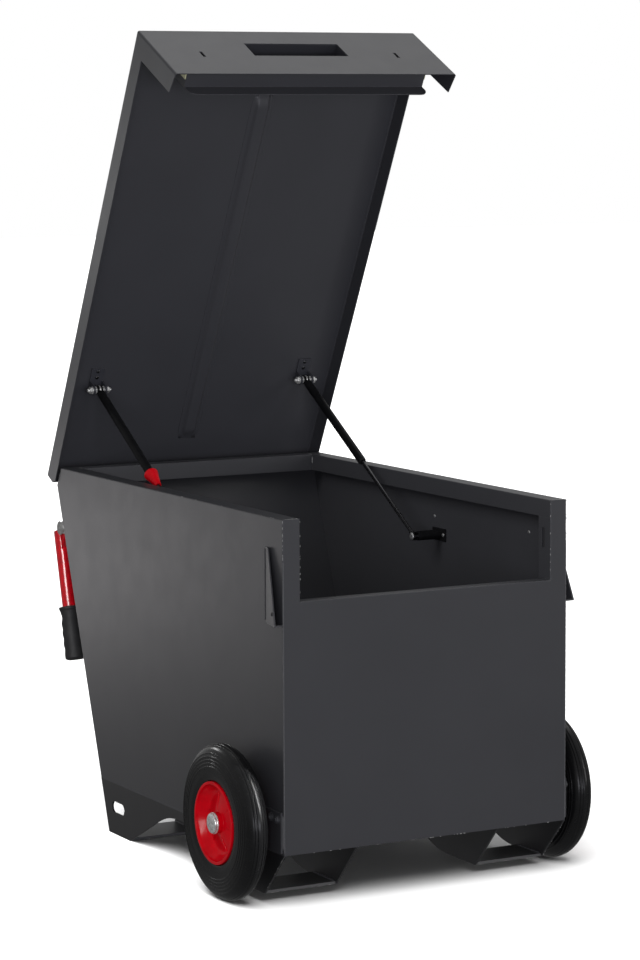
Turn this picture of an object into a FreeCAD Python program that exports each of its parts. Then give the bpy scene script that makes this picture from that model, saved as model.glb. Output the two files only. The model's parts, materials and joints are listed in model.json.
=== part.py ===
import FreeCAD, Part
import math
import os
import re
import Sketcher

# Mobile tool box: a steel chest on two solid wheels, with fork skids, a lid that
# opens rearwards on a long hinge, two gas struts, two locks and two lifting handles.
# X runs across the box, Y from front to rear, Z up from the floor, in millimetres.
# The rest pose has the lid open, the lock bolts drawn back and the handles hanging.

Vector = FreeCAD.Vector
SIDES = {"left": -1, "right": 1}

SIZES = [
    ("front_y", -540, "front panel's outer face in the frame"),
    ("fit", 0.05, "radial clearance of a running fit"),
    ("slide_fit", 0.3, "clearance on each side of a sliding bolt"),
    # box walls
    ("sheet", 3, "box sheet thickness"),
    ("half_width", 315, "half width of the box"),
    ("deck_z", 112, "top of the floor panel"),
    ("rim_z", 750, "top of the rim"),
    ("rear_deck_y", 827, "rear wall at the floor panel"),
    ("knee_y", 1036.6, "rear wall's furthest point"),
    ("knee_drop", 39, "that point below the rim"),
    ("rim_rear_y", 1016, "rear wall at the rim"),
    ("rim_width", 37, "width of the folded rim"),
    ("rim_lip", 35, "depth of the folded rim"),
    ("opening_drop", 157, "sill of the front opening below the rim"),
    ("jamb_depth", 43, "fold inwards beside the front opening"),
    ("sill_depth", 25, "fold inwards below the front opening"),
    ("fold_r", 2, "outer radius of a fold"),
    # fork skids
    ("skid_sheet", 4, "skid plate thickness"),
    ("skid_inner_x", 160, "outer face of the inner skid plate"),
    ("shoe_z", 20, "underside of the front shoe"),
    ("shoe_sheet", 5, "shoe thickness"),
    ("shoe_length", 92, "front shoe along the box"),
    ("nose_y", 82, "toe of the front leg"),
    ("arch_start_y", 221, "front end of the arch"),
    ("arch_foot_r", 200, "radius at the arch's front end"),
    ("arch_mid_y", 450, "middle of the arch"),
    ("arch_half", 85, "half length of the arch's round top"),
    ("arch_side_z", 74.5, "height where the round top starts"),
    ("arch_r", 240, "radius of the round top"),
    ("foot_toe_y", 688, "front end of the rear foot"),
    ("heel_y", 790, "rear end of the rear foot"),
    ("tie_back", 56, "middle of the lashing slot behind the foot's front end"),
    ("tie_z", 58, "height of the lashing slot"),
    ("tie_length", 60, "length of the lashing slot"),
    ("tie_r", 12, "end radius of the lashing slot"),
    # guards beside the closed flap
    ("guard_sheet", 3, "guard plate thickness"),
    ("guard_y", 70, "line where the guard meets the side"),
    ("guard_drop", 58, "top of the guard below the rim"),
    ("guard_height", 144, "height of the guard"),
    ("guard_flare", 18.8, "stand-off at the guard's front edge"),
    ("guard_rake", 50, "setback of the guard's top corner"),
    ("rivet_r", 4, "rivet head radius"),
    ("rivet_h", 2, "rivet head height"),
    # hinge
    ("hinge_back", 11, "hinge axis behind the rear wall's furthest point"),
    ("hinge_rise", 5.8, "hinge axis above that point"),
    ("knuckle_r", 6, "outer radius of a knuckle"),
    ("hinge_pin_r", 3, "hinge pin radius"),
    ("leaf_length", 540, "length of the hinge"),
    ("knuckle_gap", 0.6, "gap between two knuckles"),
    ("leaf_sheet", 3, "hinge leaf thickness"),
    ("leaf_height", 34, "height of the box leaf"),
    # lid
    ("lid_open", 62.93, "angle of the open lid"),
    ("lid_sheet", 2, "lid sheet thickness"),
    ("lid_fold_r", 3, "inner radius of the lid's folds"),
    ("lid_gap", 2.5, "gap beside the closed lid"),
    ("flap_gap", 3, "gap behind the closed flap"),
    ("lid_rest", 1, "gap between the closed lid and the rim"),
    ("rear_gap", 0.2, "lid's rear flange behind the hinge knuckles"),
    ("knuckle_room", 1.2, "lid's rear flange above the hinge knuckles"),
    ("flange_depth", 43.7, "side flange depth"),
    ("flange_reach", 46.5, "side flange behind the flap"),
    ("flap_depth", 195.5, "front flap depth"),
    ("flap_mitre", 11, "rise of the mitred flange end"),
    ("rear_mitre", 14, "mitre of the rear corner"),
    ("rib_start", 139, "front end of the lid's rib"),
    ("rib_back", 77, "rear end of the rib from the lid's rear face"),
    ("rib_half", 15, "half width of the rib"),
    ("rib_height", 8, "height of the rib"),
    ("rib_foot", 10, "width of each rib foot"),
    ("rib_sheet", 1.5, "rib sheet thickness"),
    # lock housing behind the flap
    ("housing_gap", 6, "lock housing inside the front opening"),
    ("housing_drop", 155, "underside of the lock housing below the lid's top"),
    ("housing_rear", 46, "rear face of the lock housing"),
    ("housing_sheet", 2, "lock housing sheet thickness"),
    ("lip_drop", 33, "flange hanging from the housing's rear edge"),
    ("lip_r", 20, "corner radius of the hanging flange"),
    ("recess_half", 107, "half width of the hand recess"),
    ("recess_drop", 59, "top of the hand recess below the lid's top"),
    ("recess_height", 55, "height of the hand recess"),
    ("recess_deep", 33, "depth of the hand recess"),
    ("tray_sheet", 2, "hand recess wall"),
    # locks
    ("key_in", 50, "key slot inside the lock housing's end"),
    ("key_drop", 109, "key slot below the lid's top"),
    ("key_slot_half", 3, "half width of the key slot"),
    ("key_slot_rise", 11.5, "half height of the key slot"),
    ("barrel_r", 9, "lock barrel radius"),
    ("barrel_deep", 18, "lock barrel length"),
    ("case_gap", 6, "lock case inside the lock housing's end"),
    ("case_width", 66, "width of the lock case"),
    ("case_drop", 49, "top of the lock case below the lid's top"),
    ("case_height", 74, "height of the lock case"),
    ("case_space", 8, "space behind the lock case"),
    ("case_wall", 2, "wall at the inner end of the bolt's channel"),
    ("bolt_y", 25.5, "middle of the lock bolt"),
    ("bolt_half", 4.5, "half thickness of the lock bolt"),
    ("bolt_drop", 79, "lock bolt's middle below the lid's top"),
    ("bolt_rise", 19, "half height of the lock bolt"),
    ("bolt_length", 60, "lock bolt length"),
    ("keeper_margin", 1, "play of the bolt in the jamb slot"),
    # gas struts
    ("strut_side", 28, "strut plane inside the rim"),
    ("strut_top_y", 826, "lid pivot with the lid closed"),
    ("pivot_drop", 23, "lid pivot below the closed lid's sheet"),
    ("strut_foot_y", 480, "wall pivot"),
    ("foot_drop", 124, "wall pivot below the rim"),
    ("tube_r", 9, "strut tube radius"),
    ("tube_wall", 1.5, "strut tube wall"),
    ("tube_length", 287, "strut tube length"),
    ("tube_plug", 12, "length of the tube's guide and of its plug"),
    ("rod_r", 4, "strut rod radius"),
    ("rod_length", 334, "strut rod from the wall pivot"),
    ("piston_length", 8, "piston length"),
    ("eye_r", 9, "radius of an end eye"),
    ("eye_half", 6, "half width of an end eye"),
    ("neck_r", 5, "radius of an end fitting's neck"),
    ("stud_r", 4, "pivot stud radius"),
    ("arm_gap", 6, "from the eye to a bracket arm"),
    ("arm_sheet", 3, "bracket arm thickness"),
    ("arm_r", 11, "round end of a bracket arm"),
    ("pivot_gap", 0.5, "gap beside the strut's open pivot"),
    ("stud_reach", 12, "stud and nut outside a bracket arm"),
    ("nut_r", 8, "nut radius over corners"),
    ("nut_height", 6, "nut height"),
    ("screw_pitch", 15, "bracket screws from the pivot plane"),
    ("wall_plate_half", 26, "half length of the wall bracket"),
    ("boss_r", 10, "radius of the wall bracket's boss"),
    ("release_r", 15, "large radius of the release sleeve"),
    ("release_tip_r", 7, "small radius of the release sleeve"),
    ("release_length", 38, "release sleeve below the tube"),
    ("release_cover", 5, "release sleeve over the tube"),
    # wheels, measured from the middle of the wheel
    ("wheel_gap", 49, "middle of the wheel from the side panel"),
    ("wheel_y", 151, "wheel axle from the front panel"),
    ("wheel_r", 152, "wheel radius"),
    ("tyre_half", 26, "half width of the tyre"),
    ("hub_r", 80, "hub radius in the tyre"),
    ("lip_half", 24, "half width of the hub"),
    ("hub_wall", 6, "hub rim thickness"),
    ("web_r", 62, "outer radius of the hub's web"),
    ("web_half", 2.5, "half thickness of the hub's web"),
    ("boss_out", 18, "outer end of the hub's boss"),
    ("boss_in", 26, "inner end of the hub's boss"),
    ("boss_wall", 10, "hub boss wall"),
    ("rib_count", 6, "ribs in the hub"),
    ("hub_rib_half", 1.5, "half thickness of a hub rib"),
    ("bush_wall", 4, "axle bush wall"),
    ("axle_r", 10, "stub axle radius"),
    ("axle_out", 24, "outer end of the stub axle"),
    ("collar_r", 22, "radius of the axle's collar"),
    ("collar_gap", 1, "collar to hub"),
    ("ring_r", 15, "retaining ring radius"),
    ("ring_width", 2.5, "retaining ring width"),
    ("ring_gap", 0.5, "retaining ring to hub"),
    ("cap_r", 21, "hub cap radius"),
    ("cap_wall", 1.5, "hub cap wall"),
    ("cap_in", 12, "inner end of the hub cap"),
    ("cap_out", 27, "outer end of the hub cap"),
    ("plate_sheet", 5, "axle plate thickness"),
    ("plate_below", 38, "axle plate below the axle"),
    ("plate_above", 40, "axle plate above the axle"),
    ("plate_edge", 4, "axle plate behind the front panel's face"),
    ("plate_bolt_in", 11, "outer axle plate bolt from the plate's end"),
    ("plate_bolt_step", 26, "spacing of two axle plate bolts"),
    ("plate_bolt_up", 26, "axle plate bolts above the axle"),
    ("plate_bolt_r", 4, "axle plate bolt radius"),
    ("bolt_head_r", 7.5, "hexagon head over corners"),
    ("bolt_head_h", 5, "hexagon head height"),
    # lifting handles
    ("handle_inset", 19, "middle of a handle inside the side panel"),
    ("handle_stand", 17.2, "handle pivot off the rear wall"),
    ("handle_z", 620, "handle pivot height"),
    ("hang", 14.4, "lean of a hanging handle"),
    ("handle_offset", 41, "pivot to the handle tube's middle"),
    ("handle_tube_r", 16, "handle tube radius"),
    ("handle_wall", 2, "handle tube wall"),
    ("handle_top", 3, "tube end below the pivot"),
    ("handle_length", 281, "lower end of the tube below the pivot"),
    ("grip_r", 21.5, "grip radius at its ends"),
    ("grip_waist", 2, "depth of a finger hollow in the grip"),
    ("grip_start", 167, "grip's upper end below the pivot"),
    ("grip_wall", 2.5, "thickness of the grip's end"),
    ("lug_half", 9, "half width of the handle's lug"),
    ("lug_r", 12, "round end of the lug"),
    ("lug_drop", 45, "lug along the tube"),
    ("cheek_gap", 1, "lug to a bracket cheek"),
    ("cheek_sheet", 3, "bracket cheek thickness"),
    ("cheek_r", 13.5, "round end of a cheek"),
    ("foot_sheet", 4, "handle bracket's foot thickness"),
    ("foot_half", 30, "half height of the handle bracket's foot"),
    ("foot_rim", 3, "foot beyond a cheek"),
    ("handle_pin_r", 5, "handle pivot pin radius"),
    ("pin_head_r", 9, "pivot pin head radius"),
    ("pin_head_h", 5, "pivot pin head height"),
]

FORMULAS = [
    ("knee_z", "=rim_z - knee_drop"),
    ("opening_z", "=rim_z - opening_drop"),
    ("guard_high", "=rim_z - guard_drop"),
    ("guard_low", "=guard_high - guard_height"),
    ("tie_y", "=foot_toe_y + tie_back"),
    ("wall_lean", "=atan((knee_y - rear_deck_y) / (knee_z - deck_z))"),
    ("wall_run", "=sheet / cos(wall_lean)"),
    ("rim_in", "=half_width - rim_width"),
    ("wall_in", "=half_width - sheet"),
    ("deck_low", "=deck_z - sheet"),
    ("lip_z", "=rim_z - rim_lip"),
    ("rim_back", "=rim_rear_y - rim_width"),
    ("arch_z", "=arch_side_z - sqrt(arch_r ^ 2 - arch_half ^ 2)"),
    ("hinge_y", "=knee_y + hinge_back"),
    ("hinge_z", "=knee_z + hinge_rise"),
    ("hinge_half", "=leaf_length / 2"),
    ("hinge_off", "=(hinge_y - knee_y) * cos(wall_lean) - (hinge_z - knee_z) * sin(wall_lean)"),
    ("knuckle", "=2 * hinge_half / 9"),
    ("lid_in", "=rim_z + lid_rest"),
    ("lid_top", "=lid_in + lid_sheet"),
    ("flap_in", "=-flap_gap"),
    ("lid_front", "=flap_in - lid_sheet"),
    ("lid_half", "=half_width + lid_gap + lid_sheet"),
    ("lid_rear", "=hinge_y + knuckle_r + rear_gap"),
    ("rear_flange", "=lid_top - hinge_z - knuckle_r - knuckle_room"),
    ("rib_end", "=lid_rear - rib_back"),
    ("housing_half", "=rim_in - housing_gap"),
    ("housing_low", "=lid_top - housing_drop"),
    ("recess_high", "=lid_top - recess_drop"),
    ("recess_low", "=recess_high - recess_height"),
    ("key_x", "=housing_half - key_in"),
    ("key_z", "=lid_top - key_drop"),
    ("case_out", "=housing_half - case_gap"),
    ("case_in", "=case_out - case_width"),
    ("case_high", "=lid_top - case_drop"),
    ("case_low", "=case_high - case_height"),
    ("case_rear", "=housing_rear - housing_sheet - case_space"),
    ("bolt_z", "=lid_top - bolt_drop"),
    ("strut_x", "=rim_in - strut_side"),
    ("strut_top_z", "=lid_in - pivot_drop"),
    ("strut_foot_z", "=rim_z - foot_drop"),
    ("wheel_x", "=half_width + wheel_gap"),
    ("plate_low", "=wheel_r - plate_below"),
    ("plate_high", "=wheel_r + plate_above"),
    ("plate_half", "=wheel_y - plate_edge"),
    ("plate_bolt_z", "=wheel_r + plate_bolt_up"),
    ("lid_move_y", "=front_y + hinge_y - hinge_y * cos(lid_open) - hinge_z * sin(lid_open)"),
    ("lid_move_z", "=hinge_z + hinge_y * sin(lid_open) - hinge_z * cos(lid_open)"),
    ("top_dy", "=strut_top_y - hinge_y"),
    ("top_dz", "=strut_top_z - hinge_z"),
    ("span_y", "=hinge_y + top_dy * cos(lid_open) + top_dz * sin(lid_open) - strut_foot_y"),
    ("span_z", "=hinge_z - top_dy * sin(lid_open) + top_dz * cos(lid_open) - strut_foot_z"),
    ("strut_reach", "=sqrt(span_y ^ 2 + span_z ^ 2)"),
    ("strut_angle", "=atan(span_z / span_y)"),
    ("tube_end", "=strut_reach - tube_plug"),
    ("tube_start", "=tube_end - tube_length"),
    ("arm_in", "=eye_half + arm_gap"),
    ("arm_out", "=arm_in + arm_sheet"),
    ("boss_seat", "=cap_r - cap_wall"),
    ("bush_r", "=axle_r + fit + bush_wall"),
    ("plate_out", "=half_width + plate_sheet - wheel_x"),
    ("wall_y", "=rear_deck_y + (handle_z - deck_z) * tan(wall_lean)"),
    ("handle_x", "=half_width - handle_inset"),
    ("handle_y", "=wall_y + handle_stand / cos(wall_lean)"),
    ("cheek_in", "=lug_half + cheek_gap"),
    ("cheek_out", "=cheek_in + cheek_sheet"),
]

NAMES = {row[0] for row in SIZES + FORMULAS}

document = FreeCAD.newDocument("mobile_tool_box")
cells = document.addObject("Spreadsheet::Sheet", "Cells")
for number, row in enumerate(SIZES + FORMULAS, 1):
    cells.set(f"A{number}", row[0])
    cells.set(f"B{number}", str(row[1]))
    cells.setAlias(f"B{number}", row[0])
    if len(row) > 2:
        cells.set(f"C{number}", row[2])
document.recompute()


def bind(text):
    """The text as an expression that names the sheet's cells."""
    return re.sub(r"[a-z_]+", lambda word: f"Cells.{word[0]}" if word[0] in NAMES else word[0], str(text))


def rect(x0, x1, y0, y1):
    return [(x0, y0), (x1, y0), (x1, y1), (x0, y1)]


def circle(x, y, radius):
    return ("circle", x, y, radius)


def across(side, low, high):
    """Start and length along X of a span that is given for the right side."""
    start = low if side > 0 else f"-({high})"
    return start, f"({high}) - ({low})"


def leaning(u, v):
    """A point from the hinge axis: u down along the rear wall, v away from it."""
    return (
        f"hinge_y - ({u}) * sin(wall_lean) + ({v}) * cos(wall_lean)",
        f"hinge_z - ({u}) * cos(wall_lean) - ({v}) * sin(wall_lean)",
    )


def home_box():
    return {"y": "front_y"}


def home_lid():
    return {"y": "lid_move_y", "z": "lid_move_z", "turn": "-lid_open"}


def home_wheel(side):
    home = {"x": f"{side} * wheel_x", "y": "front_y + wheel_y", "z": "wheel_r"}
    if side < 0:
        home["flip"] = True
    return home


def home_strut(side):
    return {
        "x": f"{side} * strut_x",
        "y": "front_y + strut_foot_y",
        "z": "strut_foot_z",
        "turn": "strut_angle",
    }


def home_handle(side, turn="-hang"):
    return {"x": f"{side} * handle_x", "y": "front_y + handle_y", "z": "handle_z", "turn": turn}


def place(thing, home):
    """Put a piece at its home: a move along X, Y and Z after a turn about X."""
    if home.get("flip"):
        thing.Placement.Rotation = FreeCAD.Rotation(Vector(0, 0, 1), 180)
    if "turn" in home:
        thing.Placement.Rotation = FreeCAD.Rotation(Vector(1, 0, 0), 1)
        thing.setExpression("Placement.Rotation.Angle", bind(home["turn"]))
    for axis in "xyz":
        if axis in home:
            thing.setExpression(f"Placement.Base.{axis}", bind(home[axis]))


class Piece:
    """A body whose sketches are padded, cut and revolved from the sheet's sizes."""

    made = {}

    def __init__(self, label, home):
        self.body = document.addObject("PartDesign::Body", label)
        self.body.Label = label
        self.count = 0
        place(self.body, home)
        Piece.made[label] = self.body

    def feature(self, kind, word):
        self.count += 1
        return self.body.newObject(kind, f"{self.body.Name}_{word}_{self.count}")

    def plane(self, name):
        return [item for item in self.body.Origin.OriginFeatures if item.Role == f"{name}_Plane"][0]

    def sketch(self, plane, loops, level="0"):
        sketch = self.feature("Sketcher::SketchObject", "sketch")
        sketch.AttachmentSupport = [(self.plane(plane), "")]
        sketch.MapMode = "FlatFace"
        sketch.setExpression("AttachmentOffset.Base.z", bind(f"-({level})" if plane == "XZ" else level))
        for loop in loops:
            if loop[0] == "circle":
                self.draw_circle(sketch, *loop[1:])
            else:
                self.draw_polygon(sketch, loop)
        return sketch

    def draw_circle(self, sketch, x, y, radius):
        index = sketch.addGeometry(Part.Circle(Vector(1, 1, 0), Vector(0, 0, 1), 3), False)
        self.pin(sketch, index, 3, x, y)
        row = sketch.addConstraint(Sketcher.Constraint("Radius", index, 3.0))
        sketch.setExpression(f"Constraints[{row}]", bind(radius))

    def draw_polygon(self, sketch, points):
        total = len(points)
        turns = [2 * math.pi * step / total for step in range(total)]
        starts = [Vector(9 * math.cos(turn), 9 * math.sin(turn), 0) for turn in turns]
        lines = [
            sketch.addGeometry(Part.LineSegment(starts[step], starts[(step + 1) % total]), False)
            for step in range(total)
        ]
        for step, line in enumerate(lines):
            following = lines[(step + 1) % total]
            sketch.addConstraint(Sketcher.Constraint("Coincident", line, 2, following, 1))
        for line, (x, y) in zip(lines, points):
            self.pin(sketch, line, 1, x, y)

    def pin(self, sketch, index, end, x, y):
        for kind, value in (("DistanceX", x), ("DistanceY", y)):
            row = sketch.addConstraint(Sketcher.Constraint(kind, -1, 1, index, end, 5.0))
            sketch.setExpression(f"Constraints[{row}]", bind(value))

    def pad(self, plane, loops, start, length):
        """Add the loops' area, from start onwards along the plane's positive axis."""
        sketch = self.sketch(plane, loops, start)
        pad = self.feature("PartDesign::Pad", "pad")
        pad.Profile = sketch
        pad.Reversed = plane == "XZ"
        pad.setExpression("Length", bind(length))
        return pad

    def cut(self, plane, loops, start, length):
        """Remove the loops' area, from start onwards along the plane's positive axis."""
        sketch = self.sketch(plane, loops, start)
        pocket = self.feature("PartDesign::Pocket", "cut")
        pocket.Profile = sketch
        pocket.Reversed = plane != "XZ"
        pocket.setExpression("Length", bind(length))
        return pocket

    def spin(self, plane, loops, axis):
        """Revolve the loops about the sketch's own H_Axis or V_Axis."""
        sketch = self.sketch(plane, loops)
        spin = self.feature("PartDesign::Revolution", "spin")
        spin.Profile = sketch
        spin.ReferenceAxis = (sketch, [axis])
        spin.Angle = 360
        return spin

    def soften(self, radius, chosen):
        """Round the edges of the last feature that the test picks out."""
        document.recompute()
        shape = self.body.Tip.Shape
        names = [f"Edge{i}" for i, edge in enumerate(shape.Edges, 1) if chosen(edge)]
        if not names:
            raise RuntimeError(f"{self.body.Label}: no edge to round")
        base = self.body.Tip
        fillet = self.feature("PartDesign::Fillet", "round")
        fillet.Base = (base, names)
        fillet.setExpression("Radius", bind(radius))
        return fillet


def straight_edge(edge, direction, **at):
    """True for a straight edge along the direction whose middle lies at the stated places."""
    if len(edge.Vertexes) != 2:
        return False
    start, end = (corner.Point for corner in edge.Vertexes)
    span = end - start
    if edge.Length - span.Length > 1e-6 or span.cross(direction).Length > 1e-6 * span.Length:
        return False
    middle = (start + end) * 0.5
    return all(abs(getattr(middle, axis) - value) < 1e-3 for axis, value in at.items())


def size(name):
    value = cells.get(name)
    return float(getattr(value, "Value", value))


def primitive(kind, x, y, z, axis="X", **lengths):
    """A cylinder or hexagon prism that starts at a point and runs along an axis."""
    thing = document.addObject(kind, "Blank")
    turns = {"X": (Vector(0, 1, 0), 90), "Y": (Vector(1, 0, 0), -90), "Z": (Vector(0, 0, 1), 0)}
    thing.Placement.Rotation = FreeCAD.Rotation(*turns[axis])
    for name, value in (("x", x), ("y", y), ("z", z)):
        thing.setExpression(f"Placement.Base.{name}", bind(value))
    for name, value in lengths.items():
        thing.setExpression(name, bind(value))
    return thing


def round_bar(x, y, z, radius, length, axis="X"):
    return primitive("Part::Cylinder", x, y, z, axis, Radius=radius, Height=length)


def hexagon(x, y, z, radius, height, axis="X"):
    bar = primitive("Part::Prism", x, y, z, axis, Circumradius=radius, Height=height)
    bar.Polygon = 6
    return bar


def mirrored(side, low, length):
    """Where a bar along X starts when it is given for the right side."""
    return low if side > 0 else f"-({low}) - ({length})"


def group(label, blanks, home):
    """Several blanks joined where they touch, as one named piece."""
    joined = document.addObject("Part::MultiFuse", label)
    joined.Shapes = blanks
    joined.Refine = True
    joined.Label = label
    place(joined, home)
    Piece.made[label] = joined
    return joined


def plate_bolts(axle_y="wheel_y", axle_z="0"):
    """Y and Z of each axle plate bolt, from an axle at a stated place."""
    inner = "plate_half - plate_bolt_in"
    return [
        (f"{axle_y} {sign} ({inner} - {step} * plate_bolt_step)", f"plate_bolt_z - {axle_z}")
        for sign in "-+"
        for step in (0, 1)
    ]


def bolt_outline(margin):
    """The lock bolt's outline in YZ with a margin around it."""
    return rect(
        f"bolt_y - bolt_half - {margin}",
        f"bolt_y + bolt_half + {margin}",
        f"bolt_z - bolt_rise - {margin}",
        f"bolt_z + bolt_rise + {margin}",
    )


def make_box():
    front = Piece("front_panel", home_box())
    outline = [
        ("-half_width", "deck_low"),
        ("half_width", "deck_low"),
        ("half_width", "rim_z"),
        ("rim_in", "rim_z"),
        ("rim_in", "opening_z"),
        ("-rim_in", "opening_z"),
        ("-rim_in", "rim_z"),
        ("-half_width", "rim_z"),
    ]
    front.pad("XZ", [outline], "0", "sheet")
    front.pad("XZ", [rect("-rim_in", "rim_in", "opening_z - sheet", "opening_z")], "0", "sill_depth")
    for side in SIDES.values():
        start, length = across(side, "rim_in", "rim_in + sheet")
        jamb = rect("0", "jamb_depth", "opening_z - sheet", "lip_z")
        front.pad("YZ", [jamb], start, length)
        front.cut("YZ", [bolt_outline("keeper_margin")], start, length)
    upright = Vector(0, 0, 1)
    level = Vector(1, 0, 0)
    front.soften(
        "fold_r",
        lambda edge: straight_edge(edge, upright, x=size("half_width"), y=0)
        or straight_edge(edge, upright, x=-size("half_width"), y=0)
        or straight_edge(edge, level, y=0, z=size("opening_z"))
        or straight_edge(edge, upright, x=size("rim_in"), y=0)
        or straight_edge(edge, upright, x=-size("rim_in"), y=0),
    )

    for word, side in SIDES.items():
        wall = Piece(f"side_panel_{word}", home_box())
        outline = [
            ("sheet", "deck_z"),
            ("rear_deck_y", "deck_z"),
            ("knee_y", "knee_z"),
            ("rim_rear_y", "rim_z"),
            ("sheet", "rim_z"),
        ]
        wall.pad("YZ", [outline], *across(side, "wall_in", "half_width"))
        rim = rect("sheet", "rim_rear_y - wall_run", "rim_z - sheet", "rim_z")
        wall.pad("YZ", [rim], *across(side, "rim_in", "half_width"))
        lip = rect("sheet", "rim_back + sheet", "lip_z", "rim_z")
        wall.pad("YZ", [lip], *across(side, "rim_in", "rim_in + sheet"))
        holes = [circle(y, z, "plate_bolt_r") for y, z in plate_bolts()]
        wall.cut("YZ", holes, *across(side, "wall_in", "half_width"))
        wall.soften(
            "fold_r",
            lambda edge: straight_edge(edge, Vector(0, 1, 0), x=side * size("half_width"), z=size("rim_z"))
            or straight_edge(edge, Vector(0, 1, 0), x=side * size("rim_in"), z=size("rim_z")),
        )

    rear = Piece("rear_panel", home_box())
    slope = [
        ("rear_deck_y", "deck_z"),
        ("knee_y", "knee_z"),
        ("rim_rear_y", "rim_z"),
        ("rim_rear_y - wall_run", "rim_z"),
        ("knee_y - wall_run", "knee_z"),
        ("rear_deck_y - wall_run", "deck_z"),
    ]
    rear.pad("YZ", [slope], "-wall_in", "2 * wall_in")
    rim = rect("rim_back", "rim_rear_y - sheet", "rim_z - sheet", "rim_z")
    rear.pad("YZ", [rim], "-rim_in", "2 * rim_in")
    lip = rect("rim_back", "rim_back + sheet", "lip_z", "rim_z")
    rear.pad("YZ", [lip], "-rim_in", "2 * rim_in")

    floor = Piece("floor_panel", home_box())
    floor.pad("YZ", [rect("sheet", "rear_deck_y", "deck_low", "deck_z")], "-half_width", "2 * half_width")


def arch_foot(edge):
    """The edge along X where the front leg's level underside turns up into the arch."""
    return straight_edge(edge, Vector(1, 0, 0), y=size("arch_start_y"), z=size("shoe_z"))


def make_skids():
    outline = [
        ("0", "deck_low"),
        ("nose_y", "shoe_z"),
        ("arch_start_y", "shoe_z"),
        ("arch_mid_y - arch_half", "arch_side_z"),
        ("arch_mid_y + arch_half", "arch_side_z"),
        ("foot_toe_y", "0"),
        ("heel_y", "0"),
        ("rear_deck_y", "deck_low"),
    ]
    spans = {
        "outer": ("half_width - skid_sheet", "half_width"),
        "inner": ("skid_inner_x - skid_sheet", "skid_inner_x"),
    }
    for word, side in SIDES.items():
        for place_word, span in spans.items():
            skid = Piece(f"skid_{place_word}_{word}", home_box())
            start, length = across(side, *span)
            skid.pad("YZ", [outline], start, length)
            skid.cut("YZ", [circle("arch_mid_y", "arch_z", "arch_r")], start, length)
            skid.soften("arch_foot_r", arch_foot)
            if place_word == "outer":
                half = "tie_length / 2 - tie_r"
                window = rect(f"tie_y - ({half})", f"tie_y + {half}", "tie_z - tie_r", "tie_z + tie_r")
                skid.cut("YZ", [window], start, length)
                for sign in "-+":
                    skid.cut("YZ", [circle(f"tie_y {sign} ({half})", "tie_z", "tie_r")], start, length)
        between = across(side, "skid_inner_x", "half_width - skid_sheet")
        shoe = Piece(f"front_shoe_{word}", home_box())
        shoe.pad("YZ", [rect("nose_y", "nose_y + shoe_length", "shoe_z", "shoe_z + shoe_sheet")], *between)
        foot = Piece(f"rear_shoe_{word}", home_box())
        foot.pad("YZ", [rect("foot_toe_y", "heel_y", "0", "shoe_sheet")], *between)


def make_guards():
    lean = "guard_sheet / cos(atan(guard_flare / guard_y))"
    edge = "guard_sheet / sin(atan(guard_flare / guard_y))"
    for word, side in SIDES.items():
        guard = Piece(f"lid_guard_{word}", home_box())
        blade = [
            ("half_width", "guard_y"),
            ("half_width + guard_flare", "0"),
            (f"half_width + guard_flare - {lean}", "0"),
            ("half_width", f"guard_y - {edge}"),
        ]
        ledge = [("half_width", "guard_y"), ("half_width + guard_flare", "0"), ("half_width", "0")]
        blade = [(f"{side} * ({x})", y) for x, y in blade]
        ledge = [(f"{side} * ({x})", y) for x, y in ledge]
        guard.pad("XY", [blade], "guard_low", "guard_high - guard_low")
        guard.pad("XY", [ledge], "guard_low", "guard_sheet")
        nose = [("-1", "guard_low + guard_sheet"), ("0", "guard_low + guard_sheet"),
                ("guard_rake", "guard_high"), ("-1", "guard_high")]
        guard.cut("YZ", [nose], *across(side, "half_width - 1", "half_width + guard_flare + 1"))
    group("guard_rivets", [rivet_on_guard(side) for side in SIDES.values()], home_box())


def rivet_on_guard(side):
    """A rivet head square to the guard, near its lower front corner."""
    back = "4 * rivet_r"
    out = f"half_width + guard_flare * (guard_y - {back}) / guard_y"
    head = document.addObject("Part::Cylinder", "Blank")
    head.setExpression("Radius", bind("rivet_r"))
    head.setExpression("Height", bind("rivet_h"))
    head.setExpression("Placement.Base.x", bind(f"{side} * ({out})"))
    head.setExpression("Placement.Base.y", bind(back))
    head.setExpression("Placement.Base.z", bind("guard_low + guard_sheet + 5 * rivet_r"))
    head.setExpression("Placement.Rotation.Yaw", bind(f"{side} * atan(guard_flare / guard_y)"))
    head.setExpression("Placement.Rotation.Pitch", str(side * 90))
    return head


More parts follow.
